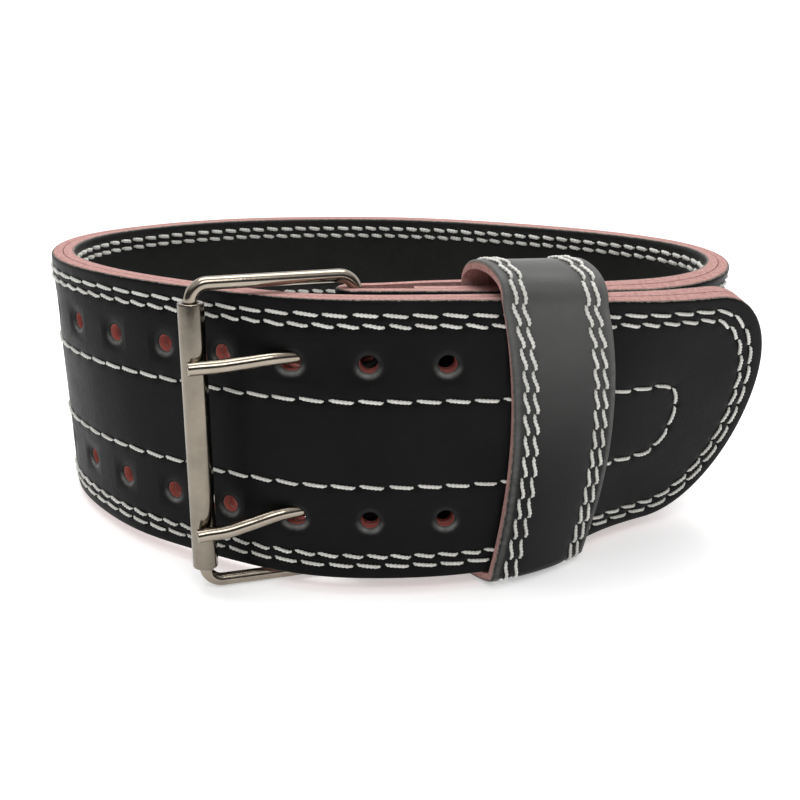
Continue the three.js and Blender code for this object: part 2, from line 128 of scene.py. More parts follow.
# Inset of the keeper's right edge, from low to high: share of half the strap's height,
# share of the keeper's width.
KEEPER_EDGE = [
    (-1, -0.11), (-0.6, -0.08), (-0.2, -0.02), (0.2, 0.05), (0.6, 0.11), (1, 0.17),
]

# Rivets. The tail is given by radius and distance out from its seat, the brim by inset
# from the head's radius and depth under the head's level.
RIVET_HEAD_RADIUS = 4.5
RIVET_HEAD_HEIGHT = 2.2
RIVET_ROWS = (30, 10, -10, -30)
RIVET_MARGIN = 5.6
RIVET_SEAT = 0.9
RIVET_SHANK_RADIUS = 1.8
RIVET_HEAD_SINK = 0.75
RIVET_DOME_FOOT = 0.55
RIVET_DOME_CUT = 0.15
RIVET_DOME_STEPS = 8
RIVET_DOME_POWERS = (0.8, 1.1)
RIVET_TIP_RADIUS = 0.02
RIVET_TAIL = ((RIVET_TIP_RADIUS, 0.9), (2.6, 0.9), (3.4, 0.6), (3.6, 0))
RIVET_BRIM = ((0.3, RIVET_HEAD_SINK), (0, 0.5))
RIVET_DENT = 0.35
RIVET_DENT_REACH = 1.2

# Leather surface. A ridge is given by its height, middle and width, a wave by its height,
# its size and the margin in which it fades out.
EDGE_ROUND = 1.1
PUCKER_DEPTH = 0.5
GROOVE_DEPTH = 0.28
PUCKER_WIDTH = 1.25
GROOVE_WIDTH = 1.15
STRAP_WAVE = (0.16, 24, 6)
KEEPER_WAVE = (0.12, 14, 4)
ROUGHNESS = 0.12
ROUGH_SIZE = 0.9
# Lighter grey ring round each hole's lip: a little rub all round, plus a painted highlight on the lower
# side, where the lip faces up to the light
RUB_ALL_ROUND = 0.08
RUB_AND_LIGHT_DISTANCE = 0.8
RUB_AND_LIGHT_WIDTH = 0.75

# Thread
THREAD_RADIUS = 0.54
ROW_DEPTHS = (5.2, 8.8)
INNER_ROW_DEPTHS = (4.4, 7.7)
INNER_THREAD_RADIUS = 0.7
MIDDLE_DEPTH = 34.7
ROW_STEP = 1.0
OUTER_RINGS = 23
INNER_RINGS = 13
STITCH_SIDES = 8
STITCH_SHIFT = 0.18
SLANT_SPREAD = 0.25
SIDE_SPREAD = 0.1
PATH_REACH = 0.3
THREAD_LIFT = 0.62
THREAD_ARCH = 0.12
THREAD_DIVE = 1.25
THREAD_TAPER = 0.5
THREAD_TWIST = 2.3
THREAD_LOBE = 0.3
THREAD_SPREAD = 1.06

# Least height of the thread above the floor, in metres
FLOOR_CLEARANCE = 0.00005

# Course of the strap seen from above: share of the ring's width, share of its depth,
# outward lean of the top edge in degrees.
STRAP_COURSE = [
    (0.55, -0.254, 21), (0.45, -0.322, 19), (0.358, -0.395, 18), (0.265, -0.48, 9),
    (0.162, -0.52, 2), (0.062, -0.537, 0), (-0.054, -0.537, 0), (-0.146, -0.486, 0),
    (-0.246, -0.401, 0), (-0.331, -0.322, 0), (-0.408, -0.209, 2), (-0.469, -0.079, 2),
    (-0.492, 0.085, 0), (-0.458, 0.226, 0), (-0.373, 0.339, 0), (-0.285, 0.418, 0),
    (-0.181, 0.452, 0), (-0.073, 0.463, 0), (0.035, 0.458, 0), (0.138, 0.418, 0),
    (0.235, 0.356, 0), (0.331, 0.282, 0), (0.415, 0.192, 1), (0.488, 0.068, 3),
    (0.508, -0.09, 8), (0.45, -0.232, 16), (0.354, -0.294, 17), (0.265, -0.379, 10),
    (0.165, -0.446, 2), (0.077, -0.458, 0), (-0.012, -0.458, 0),
]


def unit(v):
    return v / np.maximum(np.linalg.norm(v, axis=-1, keepdims=True), 1e-9)


def arrays(*values):
    return np.broadcast_arrays(*(np.asarray(v, float) for v in values))


def smoothstep(x, low, high):
    f = np.clip((x - low) / (high - low), 0, 1)
    return f * f * (3 - 2 * f)

def ridge(x, height, middle, width):
    return height * np.exp(-((x - middle) / width) ** 2)


def edge_drop(depth, radius):
    """Fall of a rounded edge below the face, at a depth inside the edge."""
    near = np.clip(depth, 0, radius)
    return radius - np.sqrt(np.maximum(radius ** 2 - (radius - near) ** 2, 0))


def join_rings(faces, first, second):
    """Quads between two closed loops of the same length."""
    for i in range(len(first)):
        j = (i + 1) % len(first)
        faces.append((first[i], first[j], second[j], second[i]))


def wrap(count, sides, start=0, closed=False, capped=False):
    """Faces round a row of loops that all have the same number of sides."""
    loops = [range(start + i * sides, start + (i + 1) * sides) for i in range(count)]
    faces = []
    for first, second in zip(loops, loops[1:] + loops[:1] * closed):
        join_rings(faces, first, second)
    if capped:
        faces += [tuple(reversed(loops[0])), tuple(loops[-1])]
    return faces


def nearest(cloud, points):
    """For each point, the nearest of the cloud: its index and its distance."""
    tree = kdtree.KDTree(len(cloud))
    for i, p in enumerate(cloud):
        tree.insert((p[0], p[1], 0), i)
    tree.balance()
    return [tree.find((p[0], p[1], 0))[1:] for p in points]


# Strap frame

def sample_course():
    handles = np.array([(x * RING_WIDTH, y * RING_DEPTH, lean) for x, y, lean in STRAP_COURSE])
    padded = np.vstack([2 * handles[0] - handles[1], handles, 2 * handles[-1] - handles[-2]])
    along = np.linspace(0, len(handles) - 1, COURSE_STEPS + 1)
    k = np.minimum(along.astype(int), len(handles) - 2)
    f = (along - k)[:, None]
    weights = ((1 - f) ** 3, 3 * f ** 3 - 6 * f ** 2 + 4, -3 * f ** 3 + 3 * f ** 2 + 3 * f + 1, f ** 3)
    points = sum(w * padded[k + i] for i, w in enumerate(weights)) / 6
    steps = np.hypot(np.diff(points[:, 0]), np.diff(points[:, 1]))
    return np.concatenate([[0], np.cumsum(steps)]), points


COURSE_S, COURSE = sample_course()
STRAP_LENGTH = COURSE_S[-1]


def course_at(s):
    return [np.interp(s, COURSE_S, COURSE[:, i]) for i in range(3)]


def place(s, h, n):
    """Points at length s, height h and distance n from the joint between the layers."""
    s, h, n = arrays(s, h, n)
    x, y, lean = course_at(s)
    ahead = course_at(np.minimum(s + COURSE_REACH, STRAP_LENGTH))
    back = course_at(np.maximum(s - COURSE_REACH, 0))
    travel = unit(np.stack([ahead[0] - back[0], ahead[1] - back[1]], -1))
    lean = np.radians(lean)
    out_x, out_y = -travel[..., 1], travel[..., 0]
    rise, spread = np.cos(lean), np.sin(lean)
    return np.stack([
        x + out_x * (spread * h + rise * n),
        y + out_y * (spread * h + rise * n),
        STRAP_HEIGHT / 2 + rise * h - spread * n,
    ], -1)


LAYER_MIDDLE = FIT_GAP / 2 + LAYER_THICKNESS / 2
LAYER_OUTSIDE = FIT_GAP / 2 + LAYER_THICKNESS
FOLD_RADIUS = WIRE_RADIUS + FIT_GAP + LAYER_THICKNESS / 2
BAR_DISTANCE = LAYER_MIDDLE - FOLD_RADIUS
BAR_CENTRE = place(STRAP_LENGTH, 0, BAR_DISTANCE)
FOLD_FACE = unit(place(STRAP_LENGTH, 0, 1) - place(STRAP_LENGTH, 0, 0))
FOLD_TRAVEL = np.array([FOLD_FACE[1], -FOLD_FACE[0], 0])
FOLD_RUN = math.pi * FOLD_RADIUS
ROLLER_CENTRE = BAR_CENTRE + np.array([ROLLER_OFFSET[0], ROLLER_OFFSET[1], 0])
ROLLER_MIDDLE = np.array([ROLLER_CENTRE[0], ROLLER_CENTRE[1], FRAME_CENTRE_HEIGHT])
PINNED_DISTANCE = FIRST_HOLE + PINNED_HOLE * HOLE_PITCH

WIRE_FOOT_Y = (BAR_CENTRE[1] + ROLLER_CENTRE[1]) / 2
WIRE_FOOT_Z = FRAME_CENTRE_HEIGHT - FRAME_HEIGHT / 2 - WIRE_RADIUS
REAR_FOOT_Y = max(y for _, y, _ in STRAP_COURSE) * RING_DEPTH - LAYER_OUTSIDE
REST_TILT = -math.atan2(-WIRE_FOOT_Z, REAR_FOOT_Y - WIRE_FOOT_Y)


def tipped(points):
    points = np.asarray(points, float)
    c, s = math.cos(REST_TILT), math.sin(REST_TILT)
    x, y, z = points[..., 0], points[..., 1], points[..., 2]
    return np.stack([x, y * c - z * s, y * s + z * c], -1)


roller_low, roller_high = (np.array(corner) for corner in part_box("buckle_roller"))
ROW_SHIFT = tipped(ROLLER_MIDDLE) - (roller_low + roller_high) * 500


def to_row(points):
    """Strap frame in millimetres to the row's frame in metres."""
    return (tipped(points) - ROW_SHIFT) / 1000


FLAP_AT_FOLD = FOLD_RADIUS - BAR_DISTANCE
FLAP_OVER_KEEPER = LAYER_OUTSIDE + KEEPER_GAP * 2 + KEEPER_THICKNESS + LAYER_THICKNESS / 2
FLAP_AT_END = LAYER_OUTSIDE + FIT_GAP + LAYER_THICKNESS / 2 + FLAP_END_LIFT


def flap_distance(t):
    rise = KEEPER_BACK_DISTANCE - KEEPER_WIDTH / 2 - KEEPER_PANEL_MARGIN
    fall = KEEPER_BACK_DISTANCE + KEEPER_WIDTH / 2 + KEEPER_PANEL_MARGIN
    up = FLAP_AT_FOLD + (FLAP_OVER_KEEPER - FLAP_AT_FOLD) * smoothstep(t, 0, rise)
    down = (FLAP_AT_END - FLAP_OVER_KEEPER) * smoothstep(t, fall, FLAP_LENGTH + FLAP_END_RUN)
    return up + down


def outer_surface(q, h, m):
    """Outer layer: round the belt, round the pivot bar, back along the inside."""
    q, h, m = arrays(q, h, m)
    strap = place(np.minimum(q, STRAP_LENGTH), h, LAYER_MIDDLE + m)
    angle = np.clip((q - STRAP_LENGTH) / FOLD_RADIUS, 0, math.pi)[..., None]
    out = FOLD_FACE * np.cos(angle) + FOLD_TRAVEL * np.sin(angle)
    fold = BAR_CENTRE + out * (FOLD_RADIUS + m)[..., None]
    fold = fold + np.stack([0 * h, 0 * h, h], -1)
    t = np.maximum(q - STRAP_LENGTH - FOLD_RUN, 0)
    flap = place(STRAP_LENGTH - t, h, -flap_distance(t) - m)
    on_strap = (q <= STRAP_LENGTH)[..., None]
    on_fold = (q < STRAP_LENGTH + FOLD_RUN)[..., None]
    return np.where(on_strap, strap, np.where(on_fold, fold, flap))


def inner_surface(q, h, m):
    return place(q, h, -LAYER_MIDDLE - np.asarray(m, float))


# Flat layout of a strip: the straight part is a grid of columns, the rounded tip a fan
# of rays round one pole. d is depth from the strip's edge.

POLE = 53
RAYS = 112
TIP_LENGTH = 33
TIP_ROUNDNESS = 2.1
FACE_DEPTHS = [
    0, 0.12, 0.35, 0.7, 1.1, 1.8, 3.0, 4.2, 4.8, 5.3, 5.9, 6.8, 7.7, 8.3, 8.8, 9.4, 10.3,
    12.2, 14.5, 16.4, 18.3, 20.2, 22, 23.8, 25.7, 27.6, 29.5, 31.6, 33.3, 34.1, 34.8,
    35.5, 36.4, 38.5, 42, 46, 50,
]
BACK_DEPTHS = [0, 5.3, 14.5, 18.3, 22, 25.7, 29.5, 38.5, 50]
COLUMN_STEP = HOLE_PITCH / 18
END_COLUMNS = (1.8, 1.1, 0.7, 0.35, 0.12, 0)
END_ROOM = 2.6
POLE_ROOM = 0.4
WINDOW_HALF_HEIGHT = 7.51
FAR_INSIDE = 60.0
RAY_LIMIT = 80.0
HALVINGS = 40


def tip_outline_h(q):
    reach = np.clip(1 - q / TIP_LENGTH, 0, 1)
    return STRAP_HEIGHT / 2 * (1 - reach ** TIP_ROUNDNESS) ** (1 / TIP_ROUNDNESS)


def ray_lengths():
    """Distance from the pole to the strip's rim along each ray, from up to down."""
    lengths = []
    for i in range(RAYS + 1):
        angle = math.pi * i / RAYS
        toward, high = math.sin(angle), abs(math.cos(angle))
        low, far = 0.0, RAY_LIMIT
        for _ in range(HALVINGS):
            r = (low + far) / 2
            q = POLE - r * toward
            inside = q > 0 and r * high <= tip_outline_h(q)
            low, far = (r, far) if inside else (low, r)
        lengths.append(low)
    return np.array(lengths)


RAY_LENGTHS = ray_lengths()


def ray_point(i, depth):
    angle = math.pi * i / RAYS
    r = RAY_LENGTHS[i] * (1 - depth / (STRAP_HEIGHT / 2))
    return POLE - r * math.sin(angle), r * math.cos(angle)


def column_places(end):
    """Columns along a strip, spaced so that one lies on the middle of each hole."""
    steps = math.floor((FIRST_HOLE - POLE) / COLUMN_STEP - POLE_ROOM)
    first = FIRST_HOLE - steps * COLUMN_STEP
    columns = [float(POLE)] + list(np.arange(first, end - END_ROOM, COLUMN_STEP))
    return columns + [end - d for d in END_COLUMNS]


def sheet_layout(end, depths, gaps):
    """Vertices as (q, h, edge depth), faces, rim loop, and the loop round each gap.

    gaps are (q, h, half columns) windows left open for a hole to be set in.
    """
    columns = column_places(end)
    rows = len(depths) * 2 - 1
    heights = [STRAP_HEIGHT / 2 - d for d in depths]
    heights = heights + [-h for h in reversed(heights[:-1])]
    row_depths = list(depths) + list(reversed(depths[:-1]))
    points = [(q, h, d) for q in columns for h, d in zip(heights, row_depths)]
    windows = []
    for q, h, half in gaps:
        c = int(np.argmin([abs(value - q) for value in columns]))
        inside = [r for r in range(rows) if abs(heights[r] - h) < WINDOW_HALF_HEIGHT]
        windows.append((c - half, c + half, inside[0], inside[-1]))
    faces = []
    for c in range(len(columns) - 1):
        for r in range(rows - 1):
            if any(c0 <= c < c1 and r0 <= r < r1 for c0, c1, r0, r1 in windows):
                continue
            a = c * rows + r
            faces.append((a, a + 1, a + rows + 1, a + rows))
    half_rows = len(depths) - 1
    rays = [list(range(half_rows))]
    for i in range(1, RAYS):
        start = len(points)
        points.extend((*ray_point(i, d), d) for d in depths[:-1])
        rays.append(list(range(start, len(points))))
    rays.append([rows - 1 - r for r in range(half_rows)])
    for i in range(RAYS):
        a, b = rays[i], rays[i + 1]
        for k in range(half_rows - 1):
            faces.append((a[k], b[k], b[k + 1], a[k + 1]))
        faces.append((a[-1], b[-1], half_rows))
    last = len(columns) - 1
    rim = [c * rows for c in range(last, 0, -1)]
    rim += [ray[0] for ray in rays]
    rim += [c * rows + rows - 1 for c in range(1, last + 1)]
    rim += [last * rows + r for r in range(rows - 2, 0, -1)]
    loops = []
    for c0, c1, r0, r1 in windows:
        loop = [c * rows + r0 for c in range(c0, c1)]
        loop += [c1 * rows + r for r in range(r0, r1)]
        loop += [c * rows + r1 for c in range(c1, c0, -1)]
        loop += [c0 * rows + r for r in range(r1, r0, -1)]
        loops.append(loop)
    return points, faces, rim, loops


def zipper(points, outer, inner, centre):
    """Triangles between two loops round the same centre."""
    def angle_of(i):
        return math.atan2(points[i][1] - centre[1], points[i][0] - centre[0])

    a, b = sorted(outer, key=angle_of), sorted(inner, key=angle_of)
    angle_a, angle_b = [angle_of(i) for i in a], [angle_of(i) for i in b]
    faces = []
    i = j = 0
    while i < len(a) or j < len(b):
        next_a = angle_a[(i + 1) % len(a)] + 2 * math.pi * ((i + 1) // len(a))
        next_b = angle_b[(j + 1) % len(b)] + 2 * math.pi * ((j + 1) // len(b))
        if j >= len(b) or (i < len(a) and next_a < next_b):
            faces.append((a[i % len(a)], a[(i + 1) % len(a)], b[j % len(b)]))
            i += 1
        else:
            faces.append((a[i % len(a)], b[(j + 1) % len(b)], b[j % len(b)]))
            j += 1
    return faces


class Hole:
    """A hole through a strip: round, or drawn out along the strip by reach each way."""

    def __init__(self, q, h, radius, reach=0.0, shift=0.0, half_columns=5):
        self.q, self.h, self.radius = q, h, radius
        self.reach, self.shift, self.half_columns = reach, shift, half_columns

    def ring(self, offset, part=1.0):
        """Loop at an offset outside the hole; part 1 is the grain side, 0 the flesh side."""
        q0 = self.q + self.shift * part
        reach = self.reach * part if self.shift else self.reach
        loop = []
        for i in range(HOLE_SIDES):
            angle = 2 * math.pi * (i + 0.5) / HOLE_SIDES
            x, y = math.cos(angle), math.sin(angle)
            push = reach * min(1, max(-1, x * SLOT_SPREAD))
            far = self.radius + offset
            loop.append((q0 + push + far * x, self.h + far * y))
        return loop

    def distance(self, q, h):
        """Distance outside the hole's edge on the grain side."""
        along = q - self.q - self.shift
        along = along - np.clip(along, -self.reach, self.reach)
        return np.hypot(along, h - self.h) - self.radius


RING_OFFSETS = (2.9, 2.1, 1.4, 0.9, 0.5, 0.22, 0.0)
WALL_PARTS = (0.82, 0.6, 0.35, 0.12)
NOISE_SHIFT = (17.3, 5.1, 9.7)


def hash_noise(points, scale, seed):
    shift = Vector([seed * part for part in NOISE_SHIFT])
    return np.array([noise.noise(Vector((p[0] / scale, p[1] / scale, 0)) + shift) for p in points])


def wave(flat, depth, seed, height, size, margin):
    return height * hash_noise(flat, size, seed) * smoothstep(depth, 0, margin)


def leather_strip(name, surface, end, holes, stitch_rows, rivet_spots, material, seed):
    """A strip of leather with rounded edges, holes with pressed lips, and stitch puckers."""
    half = LAYER_THICKNESS / 2
    gaps = [(hole.q, hole.h, hole.half_columns) for hole in holes]
    front, faces, rim, loops = sheet_layout(end, FACE_DEPTHS, gaps)
    faces = [tuple(reversed(f)) for f in faces]
    hole_rims = []
    for hole, loop in zip(holes, loops):
        previous = None
        for offset in RING_OFFSETS:
            start = len(front)
            front.extend((x, y, FAR_INSIDE) for x, y in hole.ring(offset))
            ring = list(range(start, len(front)))
            if previous is None:
                centre = (hole.q + hole.shift, hole.h)
                faces.extend(zipper(front, loop, ring, centre))
            else:
                join_rings(faces, previous, ring)
            previous = ring
        hole_rims.append(previous)

    flat = np.array(front)
    q, h = flat[:, 0], flat[:, 1]
    d = np.minimum(flat[:, 2], end - q)
    drop = edge_drop(d, EDGE_ROUND)
    m = half - drop
    rub_and_highlight = np.zeros(len(flat))
    for hole in holes:
        far = np.maximum(hole.distance(q, h), 0)
        # Painted highlight: the lower side of each lip is made lighter, as if lit from above; the faint
        # ring all round is rub
        below = smoothstep((hole.h - h) / (hole.radius + 1), -0.1, 1.0)
        rub_and_light = ridge(far, RUB_ALL_ROUND + below, RUB_AND_LIGHT_DISTANCE, RUB_AND_LIGHT_WIDTH)
        rub_and_highlight = np.maximum(rub_and_highlight, rub_and_light)
        m -= LIP_DEPTH * np.exp(-(far / LIP_WIDTH) ** LIP_FALL)
        m += ridge(far, *LIP_BULGE)
    for rivet_q, rivet_h in rivet_spots:
        far = np.hypot(q - rivet_q, h - rivet_h)
        m -= RIVET_DENT * np.exp(-np.maximum(far - RIVET_HEAD_RADIUS, 0) / RIVET_DENT_REACH)
    m += thread_marks(flat, stitch_rows)
    m += wave(flat, d, seed, *STRAP_WAVE)
    coords = [surface(q, h, m)]
    skin = [np.stack([drop, np.zeros_like(drop), rub_and_highlight], -1)]
    front_count = len(front)

    back, back_faces, back_rim, back_loops = sheet_layout(end, BACK_DEPTHS, gaps)
    back_hole_rims = []
    for hole, loop in zip(holes, back_loops):
        start = len(back)
        back.extend((x, y, FAR_INSIDE) for x, y in hole.ring(0.0, 0.0))
        ring = list(range(start, len(back)))
        centre = (hole.q, hole.h)
        back_faces.extend(tuple(reversed(f)) for f in zipper(back, loop, ring, centre))
        back_hole_rims.append(ring)
    flat_back = np.array(back)
    coords.append(surface(flat_back[:, 0], flat_back[:, 1], -half))
    skin.append(np.tile([LAYER_THICKNESS, 0.0, 0.0], (len(back), 1)))
    total = front_count + len(back)
    faces.extend(tuple(i + front_count for i in f) for f in back_faces)

    # Cut edge between the two faces
    def wall(front_loop, back_loop, places_at, drop, rough, punched):
        nonlocal total
        previous = front_loop
        for level in WALL_PARTS:
            where = np.array(places_at(level))
            height = -half + (half - drop + half) * level
            ragged = rough * hash_noise(where + level * 31, ROUGH_SIZE, seed + 3)
            inset_h = where[:, 1] - np.sign(where[:, 1]) * ragged
            coords.append(surface(where[:, 0], inset_h, height))
            skin.append(np.tile([half - height, punched, 0.0], (len(where), 1)))
            ring = list(range(total, total + len(where)))
            total += len(where)
            join_rings(faces, previous, ring)
            previous = ring
        join_rings(faces, previous, back_loop)

    rim_places = [front[i][:2] for i in rim]
    found = nearest([back[i] for i in back_rim], rim_places)
    back_rim_loop = [back_rim[k] + front_count for k, _ in found]
    wall(rim, back_rim_loop, lambda level: rim_places, EDGE_ROUND, ROUGHNESS, 0.0)
    for hole, ring, back_ring in zip(holes, hole_rims, back_hole_rims):
        back_loop = [i + front_count for i in back_ring]
        wall(ring, back_loop, lambda level: hole.ring(0.0, level), LIP_DEPTH, 0, 1.0)

    obj = mesh_object(name, to_row(np.concatenate(coords)), faces, 50, material)
    skin = np.concatenate(skin)
    for column, title in enumerate(("skin_depth", "punched", "rub_and_highlight")):
        add_attribute(obj, title, skin[:, column])
    return obj


def add_attribute(obj, title, values):
    attribute = obj.data.attributes.new(title, "FLOAT", "POINT")
    attribute.data.foreach_set("value", values.astype(np.float32))


def mesh_object(name, vertices, faces, smooth_angle, material=None):
    mesh = bpy.data.meshes.new(name)
    clean = [list(dict.fromkeys(face)) for face in faces]
    mesh.from_pydata([tuple(v) for v in vertices], [], [face for face in clean if len(face) > 2])
    mesh.validate()
    mesh.shade_smooth()
    mesh.set_sharp_from_angle(angle=math.radians(smooth_angle))
    obj = bpy.data.objects.new(name, mesh)
    bpy.context.scene.collection.objects.link(obj)
    if material:
        mesh.materials.append(material)
    return obj


# Stitch rows. A row is a path in the strip's flat layout, as points (q, h).

def edge_row(depth, end):
    """Row at a depth inside the rim: along the top, round the tip, back along the bottom."""
    high = STRAP_HEIGHT / 2 - depth
    top = [(q, high) for q in np.arange(end, POLE, -ROW_STEP)]
    tip = [ray_point(i, depth) for i in range(RAYS + 1)]
    bottom = [(q, -high) for q in np.arange(POLE + ROW_STEP, end, ROW_STEP)]
    return np.array(top + tip + bottom)


def resample(path, marks):
    steps = np.linalg.norm(np.diff(path, axis=0), axis=1)
    along = np.concatenate([[0], np.cumsum(steps)])
    return np.stack([np.interp(marks, along, path[:, i]) for i in range(path.shape[1])], -1)


def path_length(path):
    return float(np.linalg.norm(np.diff(path, axis=0), axis=1).sum())


class StitchRow:
    """Evenly spaced stitches along a path. slant raises one end of each across the row."""

    def __init__(self, path, pitch, slant, seed, curve=0.0, fill=0.86):
        self.path = np.asarray(path, float)
        self.slant, self.curve, self.fill = slant, curve, fill
        length = path_length(self.path)
        count = max(1, int(round(length / pitch)))
        self.pitch = length / count
        self.starts = [i * self.pitch for i in range(count)]
        rng = random.Random(seed)
        self.wobble = [[rng.uniform(-1, 1) for _ in range(3)] for _ in self.starts]

    def needle_points(self):
        return resample(self.path, np.array(self.starts + [self.starts[-1] + self.pitch]))

    def path_points(self):
        return resample(self.path, np.arange(0, path_length(self.path), ROW_STEP))


def thread_marks(flat, rows):
    """Groove along each row and a dip at each needle hole."""
    result = np.zeros(len(flat))
    needles = np.concatenate([row.needle_points() for row in rows])
    paths = np.concatenate([row.path_points() for row in rows])
    marks = ((needles, PUCKER_WIDTH, PUCKER_DEPTH), (paths, GROOVE_WIDTH, GROOVE_DEPTH))
    for cloud, width, depth in marks:
        far = np.array([distance for _, distance in nearest(cloud, flat)])
        result -= ridge(far, depth, 0, width)
    return result


def stitches(name, surface, level, rows, material, radius=THREAD_RADIUS, rings=OUTER_RINGS):
    """Twisted thread for every stitch of the rows, laid on a surface at a level."""
    t = np.linspace(0, 1, rings)
    ends = np.abs(2 * t - 1)
    vertices, faces = [], []
    total = 0
    for row in rows:
        for start, (shift, turn, slip) in zip(row.starts, row.wobble):
            length = row.pitch * row.fill
            begin = start + (row.pitch - length) / 2 + shift * STITCH_SHIFT
            marks = begin + t * length
            flat = resample(row.path, marks)
            ahead, back = marks + PATH_REACH, marks - PATH_REACH
            along = unit(resample(row.path, ahead) - resample(row.path, back))
            across = np.stack([-along[:, 1], along[:, 0]], -1)
            swing = (row.slant * (1 + SLANT_SPREAD * turn)) * (t - 0.5) * 2
            swing = swing + row.curve * np.sin((t - 0.5) * 2 * math.pi) + SIDE_SPREAD * slip
            flat = flat + across * swing[:, None]
            lift = radius * THREAD_LIFT + THREAD_ARCH * np.sin(math.pi * t) - THREAD_DIVE * (ends ** 7)
            centre = surface(flat[:, 0], flat[:, 1], level + lift)
            above = unit(surface(flat[:, 0], flat[:, 1], level + lift + 1) - centre)
            tangent = unit(np.gradient(centre, axis=0))
            side = unit(np.cross(tangent, above))
            above = np.cross(side, tangent)
            thin = radius * (1 - THREAD_TAPER * ends ** 6)
            for i in range(rings):
                twist = marks[i] * THREAD_TWIST
                for k in range(STITCH_SIDES):
                    angle = 2 * math.pi * k / STITCH_SIDES
                    r = thin[i] * (1 + THREAD_LOBE * math.cos(2 * (angle - twist)))
                    vertices.append(centre[i] + side[i] * r * math.cos(angle) * THREAD_SPREAD
                                    + above[i] * r * math.sin(angle))
            faces += wrap(rings, STITCH_SIDES, total, capped=True)
            total += rings * STITCH_SIDES
    placed = to_row(np.array(vertices))
    placed[:, 2] = np.maximum(placed[:, 2], FLOOR_CLEARANCE)
    return mesh_object(name, placed, faces, smooth_angle=70, material=material)


# Materials. Lengths here are in metres, since the textures use the mesh's own coordinates.

BLACK_GRAIN = ((0.0046, 0.0046, 0.0048), (0.0080, 0.0080, 0.0083))
# Inner face's grain, lighter than the outer face's same black leather: painted sheen
INNER_GRAIN_WITH_SHEEN = ((0.010, 0.010, 0.0096), (0.019, 0.019, 0.018))
KEEPER_GRAIN = ((0.0045, 0.0045, 0.0046), (0.0085, 0.0085, 0.0086))
# Heights over which the keeper turns greyer towards its top: painted sheen from above, partly wear
KEEPER_SHEEN_AND_WEAR_HEIGHTS = (0.03, 0.13)
PALE_SPECK = (0.16, 0.155, 0.15)
# Grey mixed in by the rub mask: rubbed leather, plus painted highlight under the holes and along the
# keeper's edges
RUB_AND_HIGHLIGHT_GREY = (0.22, 0.22, 0.21)
# Grey of the keeper's upper part: painted sheen, partly wear
SHEEN_AND_WEAR_GREY = (0.125, 0.125, 0.122)
SUEDE_STOPS = [(0.25, (0.27, 0.135, 0.122)), (0.5, (0.42, 0.235, 0.215)), (0.8, (0.54, 0.35, 0.32))]
SKIN_STOPS = [(0.3, (0.13, 0.10, 0.085)), (0.8, (0.27, 0.22, 0.19))]
PUNCHED_PINK = (0.40, 0.115, 0.095)
THREAD_STOPS = [(0.3, (0.46, 0.45, 0.41)), (0.6, (0.74, 0.73, 0.68))]
# Nickel kept dark and warm: a painted reflection of dark warm surroundings, not the plating's own colour
PLATE_NICKEL_DARK_REFLECTION = ((0.26, 0.225, 0.18), (0.35, 0.305, 0.25))
# Roller: the same nickel as the plate, made darker, a painted shade
ROLLER_NICKEL_SHADED = ((0.17, 0.15, 0.12), (0.24, 0.21, 0.17))
FLOOR_GREYS = ((0.86, 0.86, 0.86), (0.88, 0.88, 0.88))
NOISE_LOW = 0.3
NOISE_HIGH = 0.7


